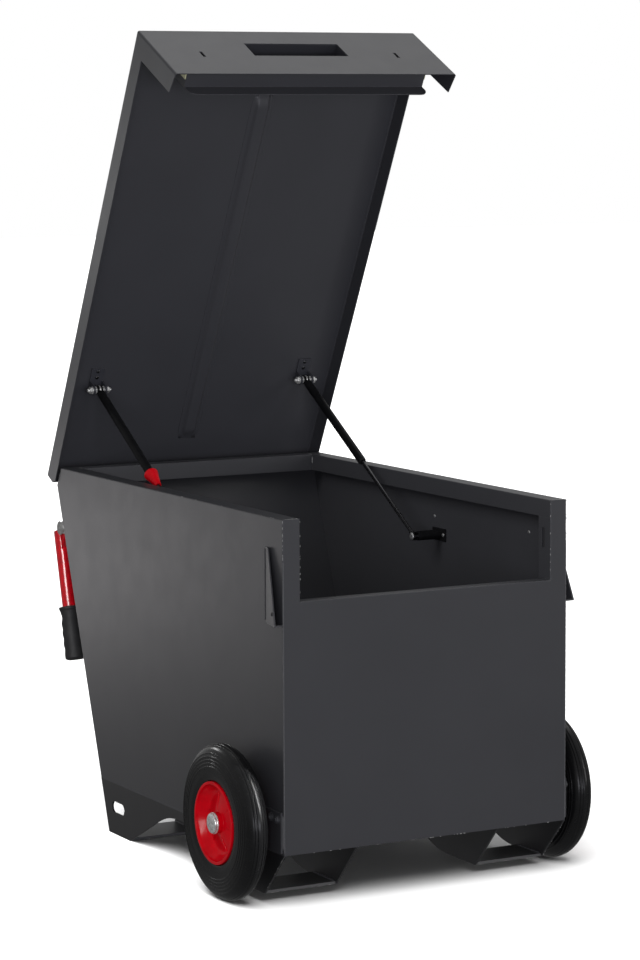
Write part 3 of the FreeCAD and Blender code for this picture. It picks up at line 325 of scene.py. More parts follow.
def wound(along: np.ndarray, radius: np.ndarray, turn: np.ndarray, axis: Axis = Axis.X,
          at: Point = ORIGIN) -> np.ndarray:
    """Points at a distance along an axis and at a radius and a turn about it, measured from a place."""
    grid = np.stack([along, radius * np.cos(turn), radius * np.sin(turn)], axis=-1)
    return np.roll(grid, axis.value, axis=-1) + np.array(at)


def carry(section: np.ndarray, path: np.ndarray, up: Point) -> np.ndarray:
    """A section carried along a path.

    At each path point the section's first coordinate runs along the tangent crossed with up,
    and its second along that side crossed with the tangent.

    Args:
        section: the closed outline, or one outline for each path point.
        path: the path's points, one row each.
        up: the direction that the section's second coordinate leans to.

    Returns:
        The grid of points, a row for each path point.
    """
    tangent = np.gradient(path, axis=0)
    tangent /= np.linalg.norm(tangent, axis=1)[:, None]
    side = np.cross(tangent, np.array(up))
    side /= np.linalg.norm(side, axis=1)[:, None]
    rise = np.cross(side, tangent)
    section = np.broadcast_to(section, (len(path),) + section.shape[-2:])
    return path[:, None] + side[:, None] * section[..., :1] + rise[:, None] * section[..., 1:]


def block(low: Sequence[float], high: Sequence[float], radius: float) -> np.ndarray:
    """A box with soft edges.

    Flat rounded rectangles in XY are stacked along Z, and the first and last few of them draw
    in by a quarter circle of the radius.

    Args:
        low: the lowest corner.
        high: the highest corner.
        radius: the radius of the soft edges.

    Returns:
        The grid of points, a row for each level.
    """
    (x0, y0, z0), (x1, y1, z1) = low, high
    bend = np.linspace(0, math.pi / 2, 5)
    inset = radius * np.concatenate([1 - np.sin(bend), 1 - np.cos(bend)])
    level = np.concatenate([z0 + radius * (1 - np.cos(bend)), z1 - radius * (1 - np.sin(bend))])
    outline = rounded([(x0, y0), (x1, y0), (x1, y1), (x0, y1)], 2 * radius)
    middle = np.array([(x0 + x1) / 2, (y0 + y1) / 2])
    half = np.array([(x1 - x0) / 2, (y1 - y0) / 2])
    flat = middle + (outline - middle) * (1 - inset[:, None, None] / half)
    return np.concatenate([flat, np.broadcast_to(level[:, None, None], flat.shape[:2] + (1,))], axis=-1)


def hexagon(start: float, height: float, corner: float, phase: float) -> np.ndarray:
    """A hexagon head or nut about X with its corners turned off at both ends.

    The radius is the smaller of the hexagon's, which is the flat's distance over the cosine of
    the turn from that flat's middle, and a cone's that widens from each end.

    Args:
        start: where the head starts along X.
        height: the head's height.
        corner: the radius over the corners.
        phase: the turn of the first flat's middle.

    Returns:
        The grid of points.
    """
    flat = corner * math.cos(math.pi / 6)
    turn = np.arange(72) * TURN / 72
    off = (turn - phase + math.pi / 6) % (math.pi / 3) - math.pi / 6
    share = np.array([0.0, 0.05, 0.12, 0.2, 0.3, 0.7, 0.8, 0.88, 0.95, 1.0])[:, None]
    cone = flat * 0.96 + 1.9 * height * np.minimum(share, 1 - share)
    radius = np.minimum(flat / np.cos(off), cone)
    return wound(np.broadcast_to(start + height * share, radius.shape), radius, turn)


def thread(start: float, length: float, radius: float, pitch: float) -> np.ndarray:
    """A threaded end along X with a turned-off tip.

    The radius falls by a triangle wave of the length over the pitch less the turn, so that the
    groove winds along the axis, and by a cone over the last pitch.

    Args:
        start: where the thread starts.
        length: the thread's length.
        radius: the outer radius.
        pitch: the length of one turn.

    Returns:
        The grid of points.
    """
    depth = 0.55 * pitch
    count = max(8, int(6 * length / pitch))
    along = np.linspace(0, length, count)[:, None]
    turn = np.arange(24) * TURN / 24
    wave = np.abs(2 * ((along / pitch - turn / TURN) % 1) - 1)
    taper = np.clip((along - length + pitch) / pitch, 0, 1)
    cut = radius - depth * np.maximum(wave, taper)
    return wound(np.broadcast_to(start + along, cut.shape), cut, turn)


def washer(start: float, height: float, inner: float, outer: float, axis: Axis = Axis.X,
           at: Point = ORIGIN) -> np.ndarray:
    """A flat ring with soft edges, as the grid of a closed section turned about its axis."""
    corners = [(start, inner), (start, outer), (start + height, outer), (start + height, inner)]
    return lathe(rounded(corners, 0.3 * height), 48, axis, at)


def dome(start: float, height: float, radius: float, axis: Axis = Axis.X) -> np.ndarray:
    """A rivet's head: an ellipse's quarter turned about its axis, from its seat to its crown."""
    bend = np.linspace(0, math.pi / 2, 9)[:-1]
    rise = np.concatenate([[-0.25 * height], height * np.sin(bend)])
    wide = np.concatenate([[radius * 0.97], radius * np.cos(bend) ** 0.8])
    return lathe(np.stack([start + rise, wide], axis=-1), 32, axis)


def bead(start: Sequence[float], end: Sequence[float], radius: float, seed: int) -> np.ndarray:
    """A weld bead between two points.

    The bead is a round bar whose radius swells by a tenth with every ripple and wanders by a
    seeded sum of slow waves, and falls to a quarter at both ends.

    Args:
        start: the first end.
        end: the other end.
        radius: the bead's radius.
        seed: the number that the wandering is drawn from.

    Returns:
        The grid of points, a row for each step along the bead.
    """
    a, b = np.array(start, float), np.array(end, float)
    length = float(np.linalg.norm(b - a))
    ripple = 2.2 * MM
    count = max(12, int(4 * length / ripple))
    share = np.linspace(0, 1, count)
    chance = np.random.default_rng(seed)
    waves = chance.uniform(0.4, 1.6, (3, 1)) * length / (9 * MM)
    phases = chance.uniform(0, TURN, (3, 1))
    wander = np.sin(waves * share * TURN + phases).mean(axis=0)
    ends = np.clip(np.minimum(share, 1 - share) * length / (2.5 * radius), 0, 1)
    swell = 1 + 0.10 * np.sin(TURN * share * length / ripple) + 0.16 * wander
    size = radius * swell * (0.25 + 0.75 * np.sqrt(ends))
    turn = np.arange(10) * TURN / 10
    circle = np.stack([np.cos(turn), np.sin(turn)], axis=-1)
    lean = (0.3, 0.2, 0.9) if abs(b - a)[2] < 0.9 * length else (1.0, 0.1, 0.0)
    return carry(size[:, None, None] * circle, a + share[:, None] * (b - a), lean)


class Graph:
    """A material's nodes, with a short method for each kind that the finishes use."""

    def __init__(self, name: str) -> None:
        """Start a material that has the name and only its shader."""
        self.material = bpy.data.materials.new(name)
        self.material.use_nodes = True
        self.tree = self.material.node_tree
        self.shader = self.tree.nodes["Principled BSDF"]
        self.place = self.node("ShaderNodeTexCoord").outputs["Object"]

    def node(self, kind: str, settings: dict | None = None, **inputs: object) -> bpy.types.Node:
        """Add one node.

        Args:
            kind: the node's type.
            settings: properties to set on it.
            inputs: a socket or a value for each input, with the input's spaces as underscores.

        Returns:
            The node.
        """
        made = self.tree.nodes.new(kind)
        for key, value in (settings or {}).items():
            setattr(made, key, value)
        for key, value in inputs.items():
            self.plug(made.inputs[key.replace("_", " ")], value)
        return made

    def plug(self, socket: bpy.types.NodeSocket, value: object) -> None:
        """Link a socket to an output, or set it to a plain value."""
        if isinstance(value, bpy.types.NodeSocket):
            self.tree.links.new(value, socket)
        else:
            socket.default_value = value

    def constants(self, **values: object) -> None:
        """Set plain values on the shader's own sockets."""
        for key, value in values.items():
            self.shader.inputs[key.replace("_", " ")].default_value = value

    def noise(self, length: float, detail: float = 2.0, rough: float = 0.5) -> object:
        """Noise whose waves have a length in metres.

        Args:
            length: the length of one wave.
            detail: how many finer waves lie on it.
            rough: the share of the finer waves.

        Returns:
            The noise's socket, from 0 to 1.
        """
        place = self.node("ShaderNodeMapping", Vector=self.place, Scale=(1 / length,) * 3).outputs[0]
        made = self.node("ShaderNodeTexNoise", Vector=place, Scale=1.0, Detail=detail, Roughness=rough)
        return made.outputs[0]

    def spread(self, value: object, low: float, high: float,
               to: tuple[float, float] = (0.0, 1.0)) -> object:
        """The value carried smoothly from one range to another, and held at its ends."""
        made = self.node(
            "ShaderNodeMapRange", {"interpolation_type": "SMOOTHSTEP"},
            Value=value, From_Min=low, From_Max=high, To_Min=to[0], To_Max=to[1],
        )
        return made.outputs[0]

    def sum(self, kind: str, first: object, second: object) -> object:
        """One step of arithmetic on two values, such as MULTIPLY or MAXIMUM."""
        made = self.node("ShaderNodeMath", {"operation": kind})
        self.plug(made.inputs[0], first)
        self.plug(made.inputs[1], second)
        return made.outputs[0]

    def blend(self, share: object, first: object, second: object) -> object:
        """A colour between two others."""
        made = self.node("ShaderNodeMix", {"data_type": "RGBA"})
        for index, value in ((0, share), (6, first), (7, second)):
            self.plug(made.inputs[index], value if index == 0 or isinstance(value, bpy.types.NodeSocket)
                      else (*value, 1.0))
        return made.outputs[2]

    def edges(self, radius: float) -> tuple[object, object]:
        """How far each point's normal leaves the normal of edges rounded to a radius.

        Args:
            radius: the radius that the edges are rounded to.

        Returns:
            The mask, 0 on flat faces and more at edges, and the rounded normal.
        """
        soft = self.node("ShaderNodeBevel", {"samples": 6}, Radius=radius).outputs[0]
        flat = self.node("ShaderNodeNewGeometry").outputs["Normal"]
        both = self.node("ShaderNodeVectorMath", {"operation": "DOT_PRODUCT"})
        self.plug(both.inputs[0], soft)
        self.plug(both.inputs[1], flat)
        return self.sum("SUBTRACT", 1.0, both.outputs["Value"]), soft

    def bump(self, height: object, distance: float, normal: object = None) -> object:
        """A normal raised by a height from 0 to 1 over a distance in metres."""
        made = self.node("ShaderNodeBump", Height=height, Distance=distance, Strength=1.0)
        if normal is not None:
            self.plug(made.inputs["Normal"], normal)
        return made.outputs[0]

    def finish(self, colour: object, roughness: object, normal: object = None) -> bpy.types.Material:
        """Lead the colour, the roughness and the normal to the shader."""
        self.plug(self.shader.inputs["Base Color"], colour)
        self.plug(self.shader.inputs["Roughness"], roughness)
        if normal is not None:
            self.plug(self.shader.inputs["Normal"], normal)
        return self.material


def shade(colour: Colour, factor: float, lift: float = 0.0) -> Colour:
    """A colour times a factor and raised by a lift, held below full white."""
    return tuple(min(1.0, factor * part + lift) for part in colour)


@dataclass(frozen=True)
class Finish:
    """What a piece is covered with: the material's name and the record's slot."""

    name: str
    slot: str

    def material(self) -> bpy.types.Material:
        """The material, made the first time that a piece asks for it."""
        name = f"{self.name}_finish"
        return bpy.data.materials.get(name) or self.build(Graph(name))

    def build(self, graph: Graph) -> bpy.types.Material:
        """Make the material's nodes."""
        raise NotImplementedError

    def dress(self, *nodes: str) -> None:
        """Give the finish to nodes that keep their own shape."""
        for name in nodes:
            for place in frame["nodes"][name].material_slots:
                place.material = self.material()
            LOG.info("%s has the finish %s", name, self.name)


@dataclass(frozen=True)
class PowderCoat(Finish):
    """Baked powder coat: an even grey with an orange-peel skin, rubbed lighter along its edges."""

    colour: Colour = (0.045, 0.0455, 0.051)
    rubbed: Colour = (0.16, 0.16, 0.165)
    gloss: float = 0.42
    peel: float = 2.6 * MM
    wear: float = 0.30

    def build(self, graph: Graph) -> bpy.types.Material:
        """Noise of two sizes for the skin, slow noise for the tone, and worn edges and specks."""
        mask, soft = graph.edges(1.4 * MM)
        patchy = graph.spread(graph.noise(14 * MM, 4, 0.65), 0.40, 0.62)
        worn = graph.sum("MULTIPLY", graph.spread(mask, 0.04, 0.22), patchy)
        specks = graph.spread(graph.noise(2.2 * MM, 3, 0.6), 0.70, 0.76)
        area = graph.spread(graph.noise(160 * MM, 3, 0.6), 0.55, 0.75)
        marks = graph.sum("MULTIPLY", specks, area)
        tone = graph.spread(graph.noise(220 * MM, 4, 0.55), 0.2, 0.8)
        base = graph.blend(tone, shade(self.colour, 0.94), shade(self.colour, 1.06))
        worn = graph.sum("MULTIPLY", worn, self.wear)
        shown = graph.sum("MAXIMUM", worn, graph.sum("MULTIPLY", marks, 0.35))
        colour = graph.blend(shown, base, self.rubbed)
        smears = graph.noise(60 * MM, 5, 0.6)
        rough = graph.spread(smears, 0.25, 0.75, (self.gloss - 0.01, self.gloss + 0.02))
        pores = graph.sum("MULTIPLY", graph.noise(0.7 * MM), 0.25)
        skin = graph.sum("ADD", graph.noise(self.peel, 2, 0.4), pores)
        graph.constants(Specular_IOR_Level=0.5)
        return graph.finish(colour, rough, graph.bump(skin, 0.045 * MM, soft))


@dataclass(frozen=True)
class Enamel(Finish):
    """Sprayed or dipped enamel: a clear gloss over an uneven coat of colour."""

    colour: Colour = (0.52, 0.001, 0.008)
    gloss: float = 0.30
    lump: float = 9 * MM
    depth: float = 0.10 * MM
    coat: float = 0.5

    def build(self, graph: Graph) -> bpy.types.Material:
        """Slow waves in the surface, a slightly darker colour in them and rubbed edges."""
        mask, soft = graph.edges(0.8 * MM)
        waves = graph.noise(self.lump, 2, 0.45)
        base = graph.blend(graph.spread(waves, 0.3, 0.7), self.colour, shade(self.colour, 0.72))
        patchy = graph.spread(graph.noise(6 * MM, 4), 0.55, 0.7)
        chips = graph.sum("MULTIPLY", graph.spread(mask, 0.10, 0.3), patchy)
        colour = graph.blend(graph.sum("MULTIPLY", chips, 0.5), base, shade(self.colour, 0.5, 0.08))
        fine = graph.sum("ADD", waves, graph.sum("MULTIPLY", graph.noise(2.4 * MM), 0.10))
        rough = graph.spread(graph.noise(30 * MM, 4), 0.3, 0.7, (self.gloss, self.gloss + 0.07))
        graph.constants(Specular_IOR_Level=0.06, Coat_Weight=self.coat, Coat_Roughness=0.05)
        return graph.finish(colour, rough, graph.bump(fine, self.depth, soft))


@dataclass(frozen=True)
class Plating(Finish):
    """Zinc or dark plating on turned and pressed steel, with a fine grain and dull spots."""

    colour: Colour = (0.74, 0.74, 0.73)
    gloss: float = 0.30
    metal: float = 0.75

    def build(self, graph: Graph) -> bpy.types.Material:
        """Noise for the crystals, finer noise for the grain, and edges painted lighter as a painted
        highlight.
        """
        mask, soft = graph.edges(0.5 * MM)
        crystals = graph.noise(5 * MM, 5, 0.65)
        base = graph.blend(graph.spread(crystals, 0.35, 0.65), shade(self.colour, 0.66), self.colour)
        # Lighter colour at the edges: a painted highlight.
        colour = graph.blend(graph.spread(mask, 0.05, 0.3), base, shade(self.colour, 1.25))
        grain = graph.noise(0.5 * MM, 3, 0.6)
        rough = graph.spread(crystals, 0.3, 0.7, (self.gloss, self.gloss + 0.16))
        graph.constants(Metallic=self.metal)
        return graph.finish(colour, rough, graph.bump(grain, 0.02 * MM, soft))


@dataclass(frozen=True)
class Rubber(Finish):
    """Moulded black rubber: smooth flanks, a dusty bloom in slow patches and fine pores."""

    colour: Colour = (0.0085, 0.0085, 0.0090)
    dusty: Colour = (0.040, 0.039, 0.038)
    gloss: float = 0.24
    pores: float = 0.03 * MM
    dust: float = 0.12
    shine: float = 0.25

    def build(self, graph: Graph) -> bpy.types.Material:
        """Slow noise for the bloom and two finer ones for the pores."""
        bloom = graph.spread(graph.noise(24 * MM, 6, 0.68), 0.48, 0.72)
        colour = graph.blend(graph.sum("MULTIPLY", bloom, self.dust), self.colour, self.dusty)
        smears = graph.noise(9 * MM, 4, 0.6)
        rough = graph.spread(smears, 0.3, 0.7, (self.gloss - 0.03, self.gloss + 0.04))
        skin = graph.sum("ADD", graph.noise(1.1 * MM, 3, 0.6), graph.noise(5 * MM, 2))
        graph.constants(Specular_IOR_Level=self.shine)
        return graph.finish(colour, rough, graph.bump(skin, self.pores))


@dataclass(frozen=True)
class Moulding(Finish):
    """Injection-moulded plastic: a saturated colour with faint flow marks and a fine sheen."""

    colour: Colour = (0.98, 0.0005, 0.011)
    gloss: float = 0.30
    flow: float = 0.05 * MM
    shine: float = 0.16

    def build(self, graph: Graph) -> bpy.types.Material:
        """Slow noise for the flow marks, in the tone and in the surface."""
        flow = graph.noise(26 * MM, 3, 0.5)
        colour = graph.blend(graph.spread(flow, 0.3, 0.7), self.colour, shade(self.colour, 0.82))
        rough = graph.spread(graph.noise(12 * MM, 4), 0.3, 0.7, (self.gloss, self.gloss + 0.08))
        skin = graph.sum("ADD", flow, graph.sum("MULTIPLY", graph.noise(1.2 * MM), 0.08))
        graph.constants(Specular_IOR_Level=self.shine)
        return graph.finish(colour, rough, graph.bump(skin, self.flow))


COAT = PowderCoat("powder_coat_grey", "coated_steel")
COAT_EDGED = PowderCoat("powder_coat_rubbed", "coated_steel", rubbed=(0.30, 0.30, 0.31), wear=0.9)
# A darker copy of the coat for the skid plates: painted shade under the box.
COAT_PAINTED_SHADE_UNDER = PowderCoat("powder_coat_underside", "coated_steel", colour=(0.011, 0.011, 0.013),
                        gloss=0.5, wear=0.5)
# A lighter copy of the coat for the front shoes: painted light on shoes that sit in shade; the rubbed
# edges are wear.
COAT_SHOE_PAINTED_LIGHT = PowderCoat("powder_coat_scuffed", "coated_steel", colour=(0.10, 0.10, 0.10),
                       rubbed=(0.34, 0.34, 0.33), wear=0.9)
# A darker, bluer copy of the coat for the hand recess and the lid brackets: painted shade.
COAT_PAINTED_SHADE_INSIDE = PowderCoat("powder_coat_inside", "coated_steel", colour=(0.036, 0.037, 0.044),
                         gloss=0.46)
# A lighter copy of the coat for weld beads: a painted highlight along the seams.
WELD = PowderCoat("powder_coat_on_weld", "coated_steel", colour=(0.10, 0.10, 0.105), gloss=0.30,
                  wear=0.6)
# Light grey for the rim welds and the edge marks: painted glints, and on the edge marks also chips in
# the coat.
CHIPS_AND_PAINTED_GLINTS = PowderCoat("touched_up_weld", "coated_steel", colour=(0.42, 0.42, 0.41), wear=0.2)
ZINC = Plating("bright_zinc", "zinc_steel")
CAP_METAL = Plating("pressed_zinc_cap", "zinc_steel", colour=(0.86, 0.86, 0.85), gloss=0.20)
DULL_ZINC = Plating("dull_zinc", "zinc_steel", colour=(0.52, 0.52, 0.51), gloss=0.34)
ROD_METAL = Plating("dark_rod", "dark_chrome", colour=(0.08, 0.08, 0.084), gloss=0.20, metal=1.0)
BLACK = Enamel("black_enamel", "black_enamel", colour=(0.010, 0.010, 0.011), gloss=0.42, lump=18 * MM,
               depth=0.05 * MM, coat=0.05)
RED = Enamel("red_enamel", "red_enamel")
RELEASE_RED = Moulding("release_red", "release_plastic", colour=(0.88, 0.003, 0.012))
HUB_RED = Moulding("hub_red", "red_plastic", colour=(0.56, 0.0005, 0.007), gloss=0.15, shine=0.13)
TYRE = Rubber("tyre_rubber", "tyre_rubber")
GRIP = Rubber("grip_rubber", "grip_rubber", colour=(0.017, 0.017, 0.018), gloss=0.50, pores=0.06 * MM,
              dust=0.35, shine=0.20)
NYLON = Moulding("nylon_bush", "nylon", colour=(0.62, 0.62, 0.57), gloss=0.4)
GLIDE = Moulding("glide_plastic", "nylon", colour=(0.92, 0.90, 0.58), gloss=0.4)


def joint_place(name: str) -> Point:
    """Where a joint's axis lies in the frame."""
    return tuple(JOINTS[name]["pos_m"])


WALL = 3 * MM
RIM_WIDTH = 37 * MM
RIM_SETBACK = 20.6 * MM
RIM_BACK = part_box("rear_panel")[1][1] - RIM_SETBACK - RIM_WIDTH
STRUT_PLANE = abs(joint_place("strut_foot_right")[0])


@dataclass
class Coachwork:
    """The welded body: folded sheets, skids, guards and the seams that join them."""

    corner_bead: float = 1.4 * MM
    corner_gap: float = 4 * MM
    guard_bead: float = 1.2 * MM
    shoe_bead: float = 2.0 * MM
    shoe_gap: float = 5 * MM
    plate_bead: float = 1.9 * MM
    plate_gap: float = 6 * MM
    heel_gap: float = 8 * MM
    sunk: float = 0.8 * MM
    proud: float = 0.6 * MM
    seam_top: float = 80 * MM
    opening: float = 157 * MM
    rivet: float = 4 * MM
    rivet_inset: float = 16 * MM
    wall_rivet_places: tuple[tuple[float, float], ...] = ((-0.408, 0.670), (-0.038, 0.662))
    nick_seed: int = 11

    def build(self) -> None:
        """Dress the sheets and lay the seams and rivets."""
        words = [side.word for side in Side]
        COAT.dress("front_panel", "rear_panel", "floor_panel", "hinge_leaf_box")
        for word in words:
            COAT.dress(f"side_panel_{word}", f"rear_shoe_{word}", f"axle_plate_{word}")
            # The skid plates take the darker coat as painted shade.
            COAT_PAINTED_SHADE_UNDER.dress(f"skid_outer_{word}", f"skid_inner_{word}")
            COAT_EDGED.dress(f"lid_guard_{word}")
            # The front shoes take the lighter coat as painted light.
            COAT_SHOE_PAINTED_LIGHT.dress(f"front_shoe_{word}")
            ZINC.dress(f"handle_bracket_{word}")
            BLACK.dress(f"wall_bracket_{word}")
        ZINC.dress("hinge_pin", "axle_rings")
        self.seams()
        self.rim_welds()
        self.guard_rivets()
        self.wall_rivets()
        self.nicks()

    def seams(self) -> None:
        """Lay the outer seams of both sides."""
        work = Meshwork()
        for number, side in enumerate(Side):
            for start, end, radius, seed in self.seam_lines(side):
                work.add(bead(start, end, radius, 10 * number + seed))
        # The seams' lighter coat is a painted highlight.
        work.make("corner_seams", WELD, "box")

    def seam_lines(self, side: Side) -> list[Seam]:
        """Where one side's seams run: front corner, guard, shoes, axle plate and skids.

        Args:
            side: the side of the box.

        Returns:
            Each seam's two ends, its radius and its seed.
        """
        x = side.value
        panel_low, panel_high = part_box("front_panel")
        edge = x * panel_high[0]
        corner = (edge - x * MM, panel_low[1] + MM)
        lines = [((*corner, panel_low[2] + self.corner_gap), (*corner, panel_high[2] - self.seam_top),
                  self.corner_bead, 1)]
        low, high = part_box(f"lid_guard_{side.word}")
        foot = (edge + x * self.sunk, high[1] + self.proud)
        lines.append(((*foot, low[2] + self.corner_gap), (*foot, high[2] - self.corner_gap),
                      self.guard_bead, 2))
        for shoe in ("front_shoe", "rear_shoe"):
            low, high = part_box(f"{shoe}_{side.word}")
            top = high[2] + self.proud
            for end in (low[0] + self.sunk, high[0] - self.sunk):
                lines.append(((end, low[1] + self.shoe_gap, top), (end, high[1] - self.shoe_gap, top),
                              self.shoe_bead, 6))
        low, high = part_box(f"axle_plate_{side.word}")
        outer = edge + x * self.sunk
        for y in (low[1] - self.proud, high[1] + self.proud):
            lines.append(((outer, y, low[2] + self.plate_gap), (outer, y, high[2] - self.plate_gap),
                          self.plate_bead, 8))
        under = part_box("floor_panel")[0][2] - self.proud
        for node in ("skid_outer", "skid_inner"):
            low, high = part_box(f"{node}_{side.word}")
            inner = (low[0] if side is Side.RIGHT else high[0]) - x * self.proud
            toe, heel = low[1] + self.plate_gap, high[1] - self.heel_gap
            lines.append(((inner, toe, under), (inner, heel, under), self.shoe_bead, 9))
        return lines

    def rim_welds(self) -> None:
        """Short beads where the folded rim's corners meet the rear rim and the jambs, light grey as
        painted glints.
        """
        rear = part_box("rear_panel")[1][1] - 36 * MM
        low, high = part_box("side_panel_right")
        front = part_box("front_panel")[0][1] + 2 * MM
        top = high[2]
        mitre, jamb = top - 1.3 * MM, top - 1.2 * MM
        work = Meshwork()
        for number, side in enumerate(Side):
            inner = side.value * (low[0] + 1.6 * MM)
            outer = side.value * (high[0] - 4 * MM)
            lip = (inner - side.value * MM, RIM_BACK - 0.4 * MM)
            work.add(bead((*lip, top - 20 * MM), (*lip, top - 5 * MM), 1.7 * MM, 40 + number))
            work.add(bead((inner, RIM_BACK + MM, mitre), (inner, rear, mitre), 1.6 * MM, 44 + number))
            work.add(bead((inner, front, jamb), (outer, front, jamb), 1.5 * MM, 48 + number))
        # The beads' light grey stands for painted glints.
        work.make("rim_welds", CHIPS_AND_PAINTED_GLINTS, "box")

    def wall_rivets(self) -> None:
        """The flat rivet heads inside the side panels, below the rim."""
        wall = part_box("side_panel_right")[1][0] - WALL
        work = Meshwork()
        for side in Side:
            for y, z in self.wall_rivet_places:
                head = dome(0.0, 1.6 * MM, self.rivet) * INWARD + np.array([wall, y, z])
                work.add(head * side.mirror)
        work.make("wall_rivet_heads", ZINC, "box")

    def nicks(self) -> None:
        """Small light marks thrown at random along the edges that get knocked: partly chips in the
        coat, partly painted glints.
        """
        chance = np.random.default_rng(self.nick_seed)
        work = Meshwork()
        for start, end, count in self.nick_lines():
            a, b = np.array(start), np.array(end)
            run = np.linalg.norm(b - a)
            for share in np.sort(chance.uniform(0.01, 0.97, count)):
                reach = chance.uniform(1.5, 5) * MM / run
                work.add(bead(a + share * (b - a), a + min(1, share + reach) * (b - a),
                              chance.uniform(0.35, 0.8) * MM, int(chance.integers(1000))))
        # The light grey marks are partly chips and partly painted glints.
        work.make("edge_nicks", CHIPS_AND_PAINTED_GLINTS, "box")

    def nick_lines(self) -> list[tuple[Sequence[float], Sequence[float], int]]:
        """The knocked edges: jamb, skid nose, shoe, rim, opening, guard and the deck's front.

        Returns:
            Each edge's two ends and how many nicks it has.
        """
        panel_low, panel_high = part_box("front_panel")
        wide, front, top, deck = panel_high[0], panel_low[1], panel_high[2], panel_low[2]
        rim = top - 0.5 * MM
        lines = []
        for side in Side:
            x = side.value
            shoe_low, shoe_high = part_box(f"front_shoe_{side.word}")
            guard_low, guard_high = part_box(f"lid_guard_{side.word}")
            toe, sole = shoe_low[1], shoe_low[2]
            edge, jamb = x * wide, x * (wide - RIM_WIDTH)
            flare = guard_low[0] if side is Side.LEFT else guard_high[0]
            lines += [
                ((edge, front, top - self.seam_top), (edge, front, top), 16),
                ((edge, front + 0.3 * MM, deck), (edge, toe, sole), 9),
                ((shoe_low[0], toe, sole), (shoe_high[0], toe, sole), 14),
                ((edge, front + 4 * MM, rim), (edge, 0.0, rim), 7),
                ((jamb, front, top - self.opening), (jamb, front, top), 9),
                ((flare, guard_low[1], guard_low[2]), (edge, guard_high[1], guard_low[2]), 4),
            ]
        lines.append(((-wide, front, deck), (wide, front, deck), 18))
        return lines

    def guard_rivets(self) -> None:
        """A domed rivet on each guard, standing square to the guard's slope."""
        rivet_low, rivet_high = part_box("guard_rivets")
        head = dome(0.0, 2.4 * MM, self.rivet)
        x, y, z = np.moveaxis(head, -1, 0)
        work = Meshwork()
        for side in Side:
            low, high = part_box(f"lid_guard_{side.word}")
            run, flare = high[1] - low[1], high[0] - low[0]
            slope = math.atan2(flare, run)
            place_y = low[1] + self.rivet_inset
            edge = low[0] if side is Side.RIGHT else -high[0]
            place_x = edge + flare * (high[1] - place_y) / run
            work.add(np.stack([
                side.value * (place_x + x * math.cos(slope) - y * math.sin(slope)),
                place_y + x * math.sin(slope) + y * math.cos(slope),
                z + (rivet_low[2] + rivet_high[2]) / 2,
            ], axis=-1))
        work.make("guard_rivet_heads", ROD_METAL, "box", stands_for=["guard_rivets"])


